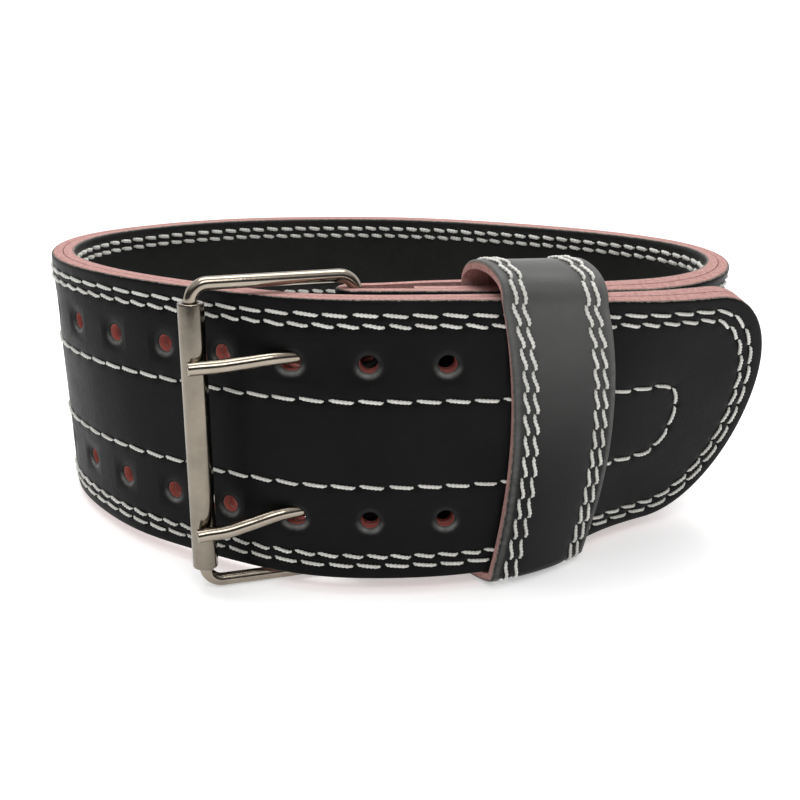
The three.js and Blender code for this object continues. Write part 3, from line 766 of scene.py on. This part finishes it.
class Nodes:
    """Adds nodes to a tree. A method that adds a step gives the new node's output."""

    def __init__(self, tree, space="Object"):
        self.tree = tree
        self.coords = self.add("ShaderNodeTexCoord").outputs[space]

    def put(self, value, socket):
        if isinstance(value, bpy.types.NodeSocket):
            self.tree.links.new(value, socket)
        else:
            socket.default_value = value

    def add(self, kind, inputs=None, **settings):
        made = self.tree.nodes.new(kind)
        for key, value in settings.items():
            setattr(made, key, value)
        for key, value in (inputs or {}).items():
            self.put(value, made.inputs[key])
        return made

    def attribute(self, name):
        return self.add("ShaderNodeAttribute", attribute_name=name).outputs["Fac"]

    def axis(self, name):
        return self.add("ShaderNodeSeparateXYZ", {"Vector": self.coords}).outputs[name]

    def noise(self, scale, detail=3.0, rough=0.5, stretch=None):
        coords = self.coords
        if stretch:
            mapping = {"Vector": coords, "Scale": stretch}
            coords = self.add("ShaderNodeMapping", mapping).outputs["Vector"]
        inputs = {"Vector": coords, "Scale": scale, "Detail": detail, "Roughness": rough}
        return self.add("ShaderNodeTexNoise", inputs).outputs["Fac"]

    def cells(self, scale, feature):
        inputs = {"Vector": self.coords, "Scale": scale}
        return self.add("ShaderNodeTexVoronoi", inputs, feature=feature).outputs["Distance"]

    def ramp(self, factor, stops):
        made = self.add("ShaderNodeValToRGB", {"Fac": factor})
        elements = made.color_ramp.elements
        while len(elements) < len(stops):
            elements.new(0.5)
        for element, (position, colour) in zip(elements, stops):
            element.position = position
            element.color = (*colour, 1)
        return made.outputs["Color"]

    def shades(self, factor, dark, light):
        return self.ramp(factor, [(NOISE_LOW, dark), (NOISE_HIGH, light)])

    def combine(self, operation, a, b):
        return self.add("ShaderNodeMath", {0: a, 1: b}, operation=operation).outputs[0]

    def plus(self, a, b):
        return self.combine("ADD", a, b)

    def times(self, a, b):
        return self.combine("MULTIPLY", a, b)

    def remap(self, value, low, high, new_low=0.0, new_high=1.0, smooth=False):
        inputs = {
            "Value": value, "From Min": low, "From Max": high, "To Min": new_low, "To Max": new_high,
        }
        kind = "SMOOTHSTEP" if smooth else "LINEAR"
        return self.add("ShaderNodeMapRange", inputs, interpolation_type=kind).outputs["Result"]

    def spread(self, value, low, high):
        """A noise value's usual range, spread between low and high."""
        return self.remap(value, NOISE_LOW, NOISE_HIGH, low, high)

    def mix(self, factor, a, b):
        made = self.add("ShaderNodeMix", data_type="RGBA")
        for index, value in ((0, factor), (6, a), (7, b)):
            self.put((*value, 1) if isinstance(value, tuple) else value, made.inputs[index])
        return made.outputs[2]

    def bump(self, height, strength, distance):
        inputs = {"Height": height, "Strength": strength, "Distance": distance}
        return self.add("ShaderNodeBump", inputs).outputs["Normal"]


class Surface(Nodes):
    """A new material with its principled shader."""

    def __init__(self, name):
        self.material = bpy.data.materials.new(name)
        self.material.use_nodes = True
        super().__init__(self.material.node_tree)

    def finish(self, inputs):
        shader = self.tree.nodes["Principled BSDF"]
        for title, value in inputs.items():
            self.put(value, shader.inputs[title])
        return self.material


def leather_material(name, grain_shades, roughness, specular, sheen_and_wear_heights=None):
    """Black grain on the faces, grey-brown skin line and pink suede on the cut edges."""
    leather = Surface(name)
    ragged = leather.spread(leather.noise(900, 3), -0.22, 0.22)
    depth = leather.plus(leather.attribute("skin_depth"), ragged)

    cloud = leather.noise(28, 4, 0.55)
    fine = leather.noise(420, 4, 0.6)
    tone = leather.plus(leather.times(cloud, 0.75), leather.times(fine, 0.25))
    speck = leather.remap(leather.cells(260, "F1"), 0.06, 0.03)
    sparse = leather.remap(leather.noise(60, 2), 0.62, 0.66)
    speckled = leather.times(leather.times(speck, sparse), 0.35)
    grain = leather.mix(speckled, leather.shades(tone, *grain_shades), PALE_SPECK)
    # Rub mask: some real rub, and painted highlight under the holes and along the keeper's edges
    rub_and_highlight = leather.times(leather.attribute("rub_and_highlight"), leather.spread(fine, 0.35, 0.9))
    grain = leather.mix(rub_and_highlight, grain, RUB_AND_HIGHLIGHT_GREY)
    # Greyer towards the top by height: painted sheen from above, partly wear
    if sheen_and_wear_heights:
        sheen_and_wear = leather.remap(leather.axis("Z"), *sheen_and_wear_heights, 0.0, 0.85, smooth=True)
        sheen_and_wear = leather.times(sheen_and_wear, leather.spread(tone, 0.75, 1.0))
        grain = leather.mix(sheen_and_wear, grain, SHEEN_AND_WEAR_GREY)

    fibre = leather.noise(700, 5, 0.7)
    suede = leather.mix(leather.attribute("punched"), leather.ramp(fibre, SUEDE_STOPS), PUNCHED_PINK)
    skin_line = leather.ramp(fibre, SKIN_STOPS)
    colour = leather.mix(leather.remap(depth, 0.38, 0.55), grain, skin_line)
    colour = leather.mix(leather.remap(depth, 0.95, 1.2), colour, suede)

    raw = leather.remap(depth, 0.5, 0.9)
    gloss = leather.spread(leather.noise(45, 3), roughness - 0.05, roughness + 0.07)
    gloss = leather.plus(gloss, leather.spread(fine, -0.03, 0.03))

    pebble = leather.remap(leather.cells(900, "SMOOTH_F1"), 0.0, 0.75)
    wrinkle = leather.noise(240, 5, 0.62)
    relief = leather.plus(leather.times(pebble, 0.4), leather.times(wrinkle, 0.6))
    choice = {0: raw, 2: relief, 3: leather.times(fibre, 2.2)}
    relief = leather.add("ShaderNodeMix", choice, data_type="FLOAT").outputs[0]
    return leather.finish({
        "Base Color": colour,
        "Roughness": leather.remap(raw, 0, 1, gloss, 0.95),
        "Normal": leather.bump(relief, 0.16, 0.0006),
        "Specular IOR Level": specular,
    })


def thread_material():
    thread = Surface("waxed_thread")
    fibre = thread.noise(1500, 4, 0.6)
    grime = thread.noise(70, 3)
    tone = thread.plus(thread.times(fibre, 0.5), thread.times(grime, 0.5))
    return thread.finish({
        "Base Color": thread.ramp(tone, THREAD_STOPS),
        "Normal": thread.bump(fibre, 0.5, 0.0003),
        "Roughness": 0.62,
        "Sheen Weight": 0.25,
    })


def nickel_material(name, shades):
    metal = Surface(name)
    drawn = metal.noise(60, 5, 0.6, stretch=(12, 12, 1))
    return metal.finish({
        "Base Color": metal.shades(metal.noise(90, 4, 0.6), *shades),
        "Roughness": metal.remap(metal.noise(300, 4, 0.65), 0.3, 0.75, 0.10, 0.22),
        "Normal": metal.bump(drawn, 0.05, 0.0005),
        "Metallic": 1.0,
    })


def floor_material():
    floor = Surface("pale_floor")
    return floor.finish({
        "Base Color": floor.shades(floor.noise(3, 3), *FLOOR_GREYS),
        "Roughness": 0.8,
        "Specular IOR Level": 0.1,
        "Emission Color": (1, 1, 1, 1),
        "Emission Strength": 0.5,
    })


# Metal pieces

def tube(path, radius, sides, normal, ring=False):
    """Round wire along a path, with squared ends where it is open."""
    path = np.asarray(path, float)
    if ring:
        along = np.roll(path, -1, axis=0) - np.roll(path, 1, axis=0)
    else:
        along = np.gradient(path, axis=0)
    along = unit(along)
    side = unit(np.cross(normal, along))
    rise = np.cross(along, side)
    vertices = []
    for i, p in enumerate(path):
        r = radius[i] if np.ndim(radius) else radius
        for k in range(sides):
            angle = 2 * math.pi * k / sides
            vertices.append(p + side[i] * r * math.cos(angle) + rise[i] * r * math.sin(angle))
    return vertices, wrap(len(path), sides, closed=ring, capped=not ring)


def turned(profile, centre, axis, sides=48):
    """Solid of revolution from (radius, along) pairs, about an axis through centre."""
    axis = unit(np.asarray(axis, float))
    seed = np.array([1.0, 0, 0]) if abs(axis[0]) < 0.8 else np.array([0, 1.0, 0])
    side = unit(np.cross(axis, seed))
    rise = np.cross(axis, side)
    vertices = []
    for r, along in profile:
        for k in range(sides):
            angle = 2 * math.pi * k / sides
            out = side * math.cos(angle) + rise * math.sin(angle)
            vertices.append(centre + axis * along + out * r)
    return vertices, wrap(len(profile), sides)


UP = np.array([0.0, 0.0, 1.0])
FRAME_ACROSS = unit((ROLLER_CENTRE - BAR_CENTRE) * np.array([1, 1, 0]))
FRAME_WIDTH = float(np.linalg.norm(ROLLER_CENTRE - BAR_CENTRE))
FRAME_NORMAL = np.cross(FRAME_ACROSS, UP)
FRAME_FRONT = FRAME_NORMAL * np.sign(FRAME_NORMAL @ FOLD_FACE)

CORNER_STEPS = 12


def frame_path():
    points = []
    corners = ((FRAME_WIDTH, 1, 0), (0, 1, 1), (0, -1, 2), (FRAME_WIDTH, -1, 3))
    for across, high, turn in corners:
        inward = -1 if across > 0 else 1
        centre_across = across + inward * FRAME_CORNER_RADIUS
        centre_high = high * (FRAME_HEIGHT / 2 - FRAME_CORNER_RADIUS)
        for i in range(CORNER_STEPS + 1):
            angle = (turn + i / CORNER_STEPS) * math.pi / 2
            a = centre_across + FRAME_CORNER_RADIUS * math.cos(angle)
            z = centre_high + FRAME_CORNER_RADIUS * math.sin(angle)
            point = BAR_CENTRE + FRAME_ACROSS * a
            points.append([point[0], point[1], FRAME_CENTRE_HEIGHT + z])
    return np.array(points)


def between(a, b, low, high, t):
    """The point on the way from a at low to b at high, at t."""
    return a * (high - t) / (high - low) + b * (t - low) / (high - low)


def catmull(points, count):
    """Centripetal curve through the points."""
    points = [np.asarray(p, float) for p in points]
    points = [2 * points[0] - points[1]] + points + [2 * points[-1] - points[-2]]
    result = []
    for i in range(1, len(points) - 2):
        four = points[i - 1:i + 3]
        knots = np.cumsum([0] + [np.linalg.norm(b - a) ** 0.5 for a, b in zip(four, four[1:])])
        for t in np.linspace(knots[1], knots[2], count, endpoint=False):
            a = [between(*four[k:k + 2], knots[k], knots[k + 1], t) for k in range(3)]
            b = [between(*a[k:k + 2], knots[k], knots[k + 2], t) for k in range(2)]
            result.append(between(*b, knots[1], knots[2], t))
    result.append(points[-2])
    return np.array(result)


def prong_path(side):
    height = STRAP_HEIGHT / 2 + side * HOLE_ROW_HEIGHT
    start = BAR_CENTRE + FOLD_FACE * (WIRE_RADIUS + FIT_GAP + PRONG_RADIUS)
    hole = place(PINNED_DISTANCE + PRONG_HOLE_SHIFT, side * HOLE_ROW_HEIGHT, LAYER_OUTSIDE)
    rest = ROLLER_CENTRE + FRAME_FRONT * (ROLLER_RADIUS + PRONG_RADIUS + FIT_GAP)
    bend = rest - FRAME_ACROSS * PRONG_BEND_BEFORE + FRAME_FRONT * PRONG_BEND_LIFT
    end = rest + FRAME_ACROSS * PRONG_OVERHANG
    reach = np.linalg.norm(end - hole)
    line = [np.array([start[0], start[1], height])]
    for p in (hole, bend, rest, end):
        fall = PRONG_DROP[side] * np.linalg.norm(p - hole) / reach
        line.append(np.array([p[0], p[1], height + PRONG_RISE - fall]))
    start, hole, bend, rest, end = line
    stub = start - FOLD_TRAVEL * PRONG_STUB
    middle = hole + (bend - hole) * PRONG_MIDDLE
    return catmull([stub, start, hole, middle, bend, rest, end], 10)


# The metals' dark warm colours are painted reflection of dark surroundings
nickel = nickel_material("nickel_plate_dark_reflection", PLATE_NICKEL_DARK_REFLECTION)
# The roller's darker copy of the nickel is painted shade
roller_nickel_painted_shade = nickel_material("roller_nickel_painted_shade", ROLLER_NICKEL_SHADED)


def metal_piece(name, parts, node_name, smooth, material=nickel):
    vertices, faces = [], []
    for part_vertices, part_faces in parts:
        offset = len(vertices)
        vertices.extend(part_vertices)
        faces.extend(tuple(i + offset for i in f) for f in part_faces)
    obj = mesh_object(name, to_row(np.array(vertices)), faces, smooth, material)
    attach(obj, "root")
    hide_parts(node_name)


def build_roller():
    half = ROLLER_LENGTH / 2
    bore = WIRE_RADIUS + FIT_GAP
    edge = ROLLER_BORE_EDGE
    outer = [(ROLLER_RADIUS - inset, -half + back) for inset, back in ROLLER_EDGE]
    profile = [(bore, -half + edge), (bore + edge, -half)] + outer
    profile += [(r, -z) for r, z in reversed(outer)]
    profile += [(bore + edge, half), (bore, half - edge), (bore, -half + edge)]
    solid = turned(profile, ROLLER_MIDDLE, UP, 64)
    metal_piece("roller_tube", [solid], "buckle_roller", 50, roller_nickel_painted_shade)


def build_prong(side, node_name):
    path = prong_path(side)
    tip = path[-1] + unit(path[-1] - path[-2]) * PRONG_TIP_RUN
    radius = np.append(np.full(len(path), PRONG_RADIUS), PRONG_RADIUS - PRONG_TIP_ROUND)
    height = STRAP_HEIGHT / 2 + side * HOLE_ROW_HEIGHT
    half = EYE_THICKNESS / 2
    eye = []
    for k in range(25):
        angle = 2 * math.pi * k / 24
        distance = WIRE_RADIUS + FIT_GAP + half + half * math.cos(angle)
        eye.append((distance, PRONG_RADIUS * EYE_HEIGHT_SHARE * math.sin(angle)))
    wire = tube(np.vstack([path, tip]), radius, 24, UP)
    ring = turned(eye, np.array([BAR_CENTRE[0], BAR_CENTRE[1], height]), UP, 40)
    metal_piece("prong_wire_" + node_name[6:], [wire, ring], node_name, 50)


def build_metal():
    wire = tube(frame_path(), WIRE_RADIUS, 24, FRAME_NORMAL, ring=True)
    metal_piece("buckle_wire", [wire], "buckle_frame", 60)
    build_roller()
    build_prong(1, "prong_upper")
    build_prong(-1, "prong_lower")


def rivet_places():
    near = KEEPER_BACK_DISTANCE - KEEPER_WIDTH / 2 - RIVET_MARGIN
    far = KEEPER_BACK_DISTANCE + KEEPER_WIDTH / 2 + RIVET_MARGIN
    return [(distance, h) for distance in (near, far) for h in RIVET_ROWS]


def rivet_profile(head, tail):
    """Radius and place along the axis, from the tail's tip to the top of the head."""
    under = head - RIVET_HEAD_SINK
    profile = [(radius, tail - depth) for radius, depth in RIVET_TAIL]
    profile += [(RIVET_SHANK_RADIUS, tail), (RIVET_SHANK_RADIUS, under)]
    profile += [(RIVET_HEAD_RADIUS - inset, head - sink) for inset, sink in RIVET_BRIM]
    side, top = RIVET_DOME_POWERS
    for k in range(RIVET_DOME_STEPS + 1):
        angle = k / RIVET_DOME_STEPS * math.pi / 2
        rise = (RIVET_HEAD_HEIGHT - RIVET_DOME_CUT) * math.sin(angle) ** top
        profile.append((RIVET_HEAD_RADIUS * math.cos(angle) ** side, under + RIVET_DOME_FOOT + rise))
    profile[-1] = (RIVET_TIP_RADIUS, profile[-1][1])
    return profile


def build_rivets():
    lift = FIT_GAP + RIVET_SEAT
    for i, (distance, h) in enumerate(rivet_places()):
        slope = float(flap_distance(distance + 2) - flap_distance(distance - 2)) / 4
        s = STRAP_LENGTH - distance
        face = unit(place(s, h, 1) - place(s, h, 0))
        travel = unit(place(s + 1, 0, 0) - place(s - 1, 0, 0))
        axis = unit(-face + travel * slope / 2)
        head = float(flap_distance(distance)) + LAYER_THICKNESS / 2 + lift
        profile = rivet_profile(head, -(LAYER_OUTSIDE + lift))
        solid = turned(profile, place(s, h, 0), axis, 32)
        metal_piece(f"rivet_cap_{i + 1}", [solid], f"rivet_{i + 1}", 50)


# Keeper

KEEPER_ROWS = 46
KEEPER_TURN = 26
KEEPER_LINES = 13
KEEPER_SECTIONS = 220
KEEPER_PITCH = 7.9
KEEPER_ROW_DEPTHS = (4.4, 7.8)
KEEPER_DEPTHS = [
    0, 0.1, 0.3, 0.6, 1.0, 1.7, 2.8, 3.8, 4.3, 4.7, 5.3, 6.2, 7.1, 7.6, 8.0, 8.6, 10, 12, 14.5, 18,
]


def keeper_line(w):
    half = STRAP_HEIGHT / 2
    front = LAYER_OUTSIDE + KEEPER_GAP + KEEPER_THICKNESS / 2

    high, inset = zip(*KEEPER_EDGE)
    rightward = w / KEEPER_WIDTH + 0.5

    def front_at(h):
        bow = KEEPER_BOW * (1 - (h / half) ** 2)
        bend = np.interp(h / half, high, inset) * KEEPER_WIDTH * rightward
        return place(KEEPER_FRONT_DISTANCE - w - bow + bend, h, front)

    def back_at(h):
        shift = KEEPER_BACK_SHIFT * smoothstep(h / half, KEEPER_SHIFT_START, 1)
        return place(STRAP_LENGTH - KEEPER_BACK_DISTANCE - w - shift, h, -front)

    def turn(start, end, rise):
        clear = math.copysign(KEEPER_THICKNESS / 2 + FIT_GAP, rise)
        points = []
        for i in range(1, KEEPER_TURN):
            angle = i / KEEPER_TURN * math.pi
            point = start + (end - start) * (1 - math.cos(angle)) / 2
            points.append(point + UP * (clear + rise) * math.sin(angle) ** KEEPER_TURN_FULLNESS)
        return points

    line = [front_at(half - STRAP_HEIGHT * i / KEEPER_ROWS) for i in range(KEEPER_ROWS + 1)]
    line += turn(front_at(-half), back_at(-half), -KEEPER_SAG)
    line += [back_at(-half + STRAP_HEIGHT * i / KEEPER_ROWS) for i in range(KEEPER_ROWS + 1)]
    line += turn(back_at(half), front_at(half), KEEPER_CREST)
    return np.array(line)


KEEPER_W = np.linspace(-KEEPER_WIDTH / 2, KEEPER_WIDTH / 2, KEEPER_LINES)
KEEPER_GRID = np.stack([keeper_line(w) for w in KEEPER_W], axis=1)
KEEPER_COUNT = KEEPER_GRID.shape[0]


def keeper_outs():
    along = np.roll(KEEPER_GRID, -1, axis=0) - np.roll(KEEPER_GRID, 1, axis=0)
    along = sum(np.roll(along, k, axis=0) for k in (-1, 0, 1))
    across = np.gradient(KEEPER_GRID, axis=1)
    return unit(np.cross(along, across))


KEEPER_OUT = keeper_outs()
KEEPER_MIDDLE = KEEPER_GRID[:, KEEPER_LINES // 2]
KEEPER_STEPS = np.diff(np.vstack([KEEPER_MIDDLE, KEEPER_MIDDLE[:1]]), axis=0)
KEEPER_AROUND = np.concatenate([[0], np.cumsum(np.linalg.norm(KEEPER_STEPS, axis=1))])
KEEPER_LOOP = KEEPER_AROUND[-1]


def keeper_surface(v, w, m):
    """v runs round the keeper, w across it, m out from its middle."""
    v, w, m = arrays(v, w, m)
    row = np.interp(np.mod(v, KEEPER_LOOP), KEEPER_AROUND, np.arange(KEEPER_COUNT + 1))
    i = np.floor(row).astype(int)
    f = (row - i)[..., None]
    column = np.clip((w + KEEPER_WIDTH / 2) / (KEEPER_W[1] - KEEPER_W[0]), 0, len(KEEPER_W) - 1.0001)
    j = np.floor(column).astype(int)
    g = (column - j)[..., None]
    a, b = i % KEEPER_COUNT, (i + 1) % KEEPER_COUNT

    def blend(grid):
        low = grid[a, j] * (1 - g) + grid[a, j + 1] * g
        high = grid[b, j] * (1 - g) + grid[b, j + 1] * g
        return low * (1 - f) + high * f

    return blend(KEEPER_GRID) + unit(blend(KEEPER_OUT)) * m[..., None]


def keeper_rows():
    side = KEEPER_WIDTH / 2
    near, far = KEEPER_ROW_DEPTHS
    rows = []
    for k, w in enumerate((near - side, far - side, side - far, side - near)):
        path = [(v, w) for v in np.arange(0, KEEPER_LOOP + ROW_STEP / 2, ROW_STEP)]
        rows.append(StitchRow(path, KEEPER_PITCH, slant=0.5, curve=0.3, fill=1.0, seed=40 + k))
    return rows


def build_keeper(material):
    half = KEEPER_THICKNESS / 2
    side = KEEPER_WIDTH / 2
    widths = [d - side for d in KEEPER_DEPTHS] + [side - d for d in reversed(KEEPER_DEPTHS[:-1])]
    count = KEEPER_SECTIONS
    around = np.arange(count) * KEEPER_LOOP / count
    v, w = (part.ravel() for part in np.meshgrid(around, widths, indexing="ij"))
    d = side - np.abs(w)
    drop = edge_drop(d, KEEPER_EDGE_ROUND)
    rows = keeper_rows()
    flat = np.stack([v, w], -1)
    m = half - drop + thread_marks(flat, rows)
    m += wave(flat, d, 5, *KEEPER_WAVE)
    m += ridge(np.abs(w), *KEEPER_RIDGE)
    coords = [keeper_surface(v, w, m)]
    skin = [drop]
    columns = len(widths)
    faces = []
    for i in range(count):
        a, b = i * columns, (i + 1) % count * columns
        for k in range(columns - 1):
            faces.append((a + k, a + k + 1, b + k + 1, b + k))
    total = count * columns
    previous = {1: range(columns - 1, total, columns), -1: range(0, total, columns)}
    for level in (0.75, 0.5, 0.25, 0.0):
        for sign in (1, -1):
            height = -half + (KEEPER_THICKNESS - KEEPER_EDGE_ROUND) * level
            where = np.stack([around, np.full(count, sign * side)], -1)
            ragged = ROUGHNESS * hash_noise(where + level * 17, 0.8, 7 + sign) if level else 0
            coords.append(keeper_surface(around, sign * (side - ragged), height))
            skin.append(np.full(count, half - height + 0.2))
            ring = list(range(total, total + count))
            total += count
            for i in range(count):
                j = (i + 1) % count
                quad = (previous[sign][i], ring[i], ring[j], previous[sign][j])
                faces.append(quad if sign > 0 else tuple(reversed(quad)))
            previous[sign] = ring
    inside = np.linspace(-side, side, 9)[1:-1]
    rings = [previous[-1]]
    for value in inside:
        coords.append(keeper_surface(around, np.full(count, value), -half))
        skin.append(np.full(count, KEEPER_THICKNESS))
        rings.append(list(range(total, total + count)))
        total += count
    rings.append(previous[1])
    for first, second in zip(rings, rings[1:]):
        join_rings(faces, first, second)
    obj = mesh_object("keeper_band", to_row(np.concatenate(coords)), faces, 50, material)
    skin = np.concatenate(skin)
    rub_and_highlight = np.zeros(len(skin))
    # Painted highlight along the keeper's rounded edges, partly rub
    rub_and_highlight[:len(d)] = ridge(d, *KEEPER_RUB_AND_HIGHLIGHT)
    add_attribute(obj, "skin_depth", skin)
    add_attribute(obj, "rub_and_highlight", rub_and_highlight)
    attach(obj, "root")
    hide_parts("keeper")
    return rows


# Strap pieces

OUTER_END = STRAP_LENGTH + FOLD_RUN + FLAP_LENGTH
INNER_END = STRAP_LENGTH - INNER_LAYER_STOP


def fastening_holes(grain_side_in):
    holes = []
    for k in range(HOLE_COUNT):
        q = FIRST_HOLE + k * HOLE_PITCH
        for side in (1, -1):
            h = side * HOLE_ROW_HEIGHT
            if k != PINNED_HOLE:
                holes.append(Hole(q, h, HOLE_RADIUS))
            elif grain_side_in:
                holes.append(Hole(q, h, HOLE_RADIUS, reach=3.6, shift=-3.6, half_columns=9))
            else:
                holes.append(Hole(q, h, HOLE_RADIUS + 0.2, reach=0.6, half_columns=9))
    return holes


def outer_rows():
    end = STRAP_LENGTH - 1
    near, far = ROW_DEPTHS
    return [
        StitchRow(edge_row(near, end), 9.6, slant=0.38, seed=1),
        StitchRow(edge_row(far, end), 8.2, slant=0.42, curve=0.12, seed=2),
        StitchRow(edge_row(MIDDLE_DEPTH, end), 9.6, slant=0.38, seed=3),
    ]


def flap_rows():
    """Rows on the flap's grain face: top, end and bottom edges, and two middle rows."""
    look = {"pitch": 6.8, "slant": -0.36, "fill": 0.76}
    rows = []
    start = STRAP_LENGTH + FOLD_RUN - 3
    for k, depth in enumerate(ROW_DEPTHS):
        high = STRAP_HEIGHT / 2 - depth
        stop = OUTER_END - depth
        path = [(q, high) for q in np.arange(start, stop, ROW_STEP)]
        path += [(stop, h) for h in np.arange(high, -high, -ROW_STEP)]
        path += [(q, -high) for q in np.arange(stop, start, -ROW_STEP)]
        rows.append(StitchRow(path, seed=21 + k, **look))
    for k, h in enumerate((FLAP_MIDDLE_HEIGHT, -FLAP_MIDDLE_HEIGHT)):
        path = [(q, h) for q in np.arange(start, OUTER_END - 12, ROW_STEP)]
        rows.append(StitchRow(path, seed=25 + k, **look))
    return rows


def inner_rows():
    rows = []
    for k, (depth, pitch) in enumerate(zip((*INNER_ROW_DEPTHS, MIDDLE_DEPTH), (6.8, 6.6, 6.8))):
        path = edge_row(depth, INNER_END - 3)
        rows.append(StitchRow(path, pitch, slant=-0.3, fill=0.74, seed=11 + k))
    return rows


def build_strap():
    leather = leather_material("black_grain_leather", BLACK_GRAIN, 0.42, 0.055)
    # Inner layer: the same black leather made lighter, a painted sheen
    inner_leather = leather_material("inner_grain_leather_with_sheen", INNER_GRAIN_WITH_SHEEN, 0.45, 0.2)
    thread = thread_material()

    middle = STRAP_LENGTH + FOLD_RUN / 2
    reach = FOLD_RUN / 2 + SLOT_REACH - SLOT_HALF_WIDTH
    slots = []
    for side in (1, -1):
        height = side * HOLE_ROW_HEIGHT
        slots.append(Hole(middle, height, SLOT_HALF_WIDTH, reach=reach, half_columns=13))
    holes = fastening_holes(False) + slots
    rows = outer_rows()
    flaps = flap_rows()
    spots = [(STRAP_LENGTH + FOLD_RUN + distance, h) for distance, h in rivet_places()]
    outer = leather_strip("strap_outer_leather", outer_surface, OUTER_END, holes,
                          rows + flaps, spots, leather, seed=1)
    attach(outer, "root")
    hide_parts("strap_outer_layer")

    inner_stitches = inner_rows()
    inner = leather_strip("strap_inner_leather", inner_surface, INNER_END, fastening_holes(True),
                          inner_stitches, [], inner_leather, seed=2)
    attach(inner, "root")
    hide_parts("strap_inner_layer")

    level = LAYER_THICKNESS / 2 - GROOVE_DEPTH
    inside = {"radius": INNER_THREAD_RADIUS, "rings": INNER_RINGS}
    threads = [(f"thread_outer_{k + 1}", outer_surface, [row], {}) for k, row in enumerate(rows)]
    threads.append(("thread_flap", outer_surface, flaps, inside))
    for k, row in enumerate(inner_stitches):
        threads.append((f"thread_inner_{k + 1}", inner_surface, [row], inside))
    for name, surface, stitch_rows, look in threads:
        obj = stitches(name, surface, level, stitch_rows, thread, **look)
        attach(obj, "root")

    # The keeper's material carries a painted sheen towards its top, partly wear
    keeper_leather = leather_material("keeper_grain_leather", KEEPER_GRAIN, 0.38, 0.13, KEEPER_SHEEN_AND_WEAR_HEIGHTS)
    keeper_stitches = build_keeper(keeper_leather)
    level = KEEPER_THICKNESS / 2 - GROOVE_DEPTH
    obj = stitches("thread_keeper", keeper_surface, level, keeper_stitches, thread)
    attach(obj, "root")


# Studio, in metres

FLOOR_REACH = 4.0
TOP_LIGHT_PLACE = (0.0, 0.15, 1.0)
FRONT_LIGHT_PLACE = (0.1, -0.75, 0.85)
LIGHT_TARGET = (0, 0, 0.05)
EXPOSURE = -0.25


def area_light(name, location, size, energy):
    data = bpy.data.lights.new(name, "AREA")
    data.shape = "RECTANGLE"
    data.size, data.size_y = size
    data.energy = energy
    obj = bpy.data.objects.new(name, data)
    obj.location = location
    direction = Vector(LIGHT_TARGET) - Vector(location)
    obj.rotation_euler = direction.to_track_quat("-Z", "Y").to_euler()
    bpy.context.scene.collection.objects.link(obj)


def build_world():
    """Bright behind the belt and above it, dark in front, as the metal shows it."""
    world = bpy.data.worlds.new("studio")
    world.use_nodes = True
    nodes = Nodes(world.node_tree, "Generated")
    behind = nodes.remap(nodes.axis("Y"), -0.2, 0.45, 0.08, 1.27, smooth=True)
    above = nodes.remap(nodes.axis("Z"), 0.3, 0.8, 0.0, 0.9, smooth=True)
    background = nodes.tree.nodes["Background"]
    nodes.put(nodes.combine("MAXIMUM", behind, above), background.inputs["Strength"])
    nodes.put((1, 1, 1, 1), background.inputs["Color"])
    bpy.context.scene.world = world


def build_studio():
    mesh = bpy.data.meshes.new("floor")
    reach = FLOOR_REACH
    corners = [(-reach, -reach, 0), (reach, -reach, 0), (reach, reach, 0), (-reach, reach, 0)]
    mesh.from_pydata(corners, [], [(0, 1, 2, 3)])
    floor = bpy.data.objects.new("floor", mesh)
    mesh.materials.append(floor_material())
    bpy.context.scene.collection.objects.link(floor)

    build_world()
    area_light("top_box", TOP_LIGHT_PLACE, (0.9, 0.6), 9)
    area_light("front_above", FRONT_LIGHT_PLACE, (0.35, 0.35), 2.5)
    bpy.context.scene.view_settings.view_transform = "Standard"
    bpy.context.scene.view_settings.exposure = EXPOSURE


# Camera, placed in the strap's own frame in millimetres

CAMERA_FOCAL_PIXELS = 1103
CAMERA_PITCH = 17.7345
CAMERA_PLACE = (11.986, -448.718, 177.833)
PICTURE_WIDTH = 800
SENSOR_WIDTH = 36


def build_camera():
    data = bpy.data.cameras.new("camera")
    data.sensor_width = SENSOR_WIDTH
    data.lens = SENSOR_WIDTH * CAMERA_FOCAL_PIXELS / PICTURE_WIDTH
    camera = bpy.data.objects.new("camera", data)
    camera.location = to_row(np.array(CAMERA_PLACE))
    camera.rotation_euler = (math.radians(90 - CAMERA_PITCH) + REST_TILT, 0, 0)
    bpy.context.scene.collection.objects.link(camera)
    bpy.context.scene.camera = camera


build_camera()
build_metal()
build_rivets()
build_strap()
build_studio()
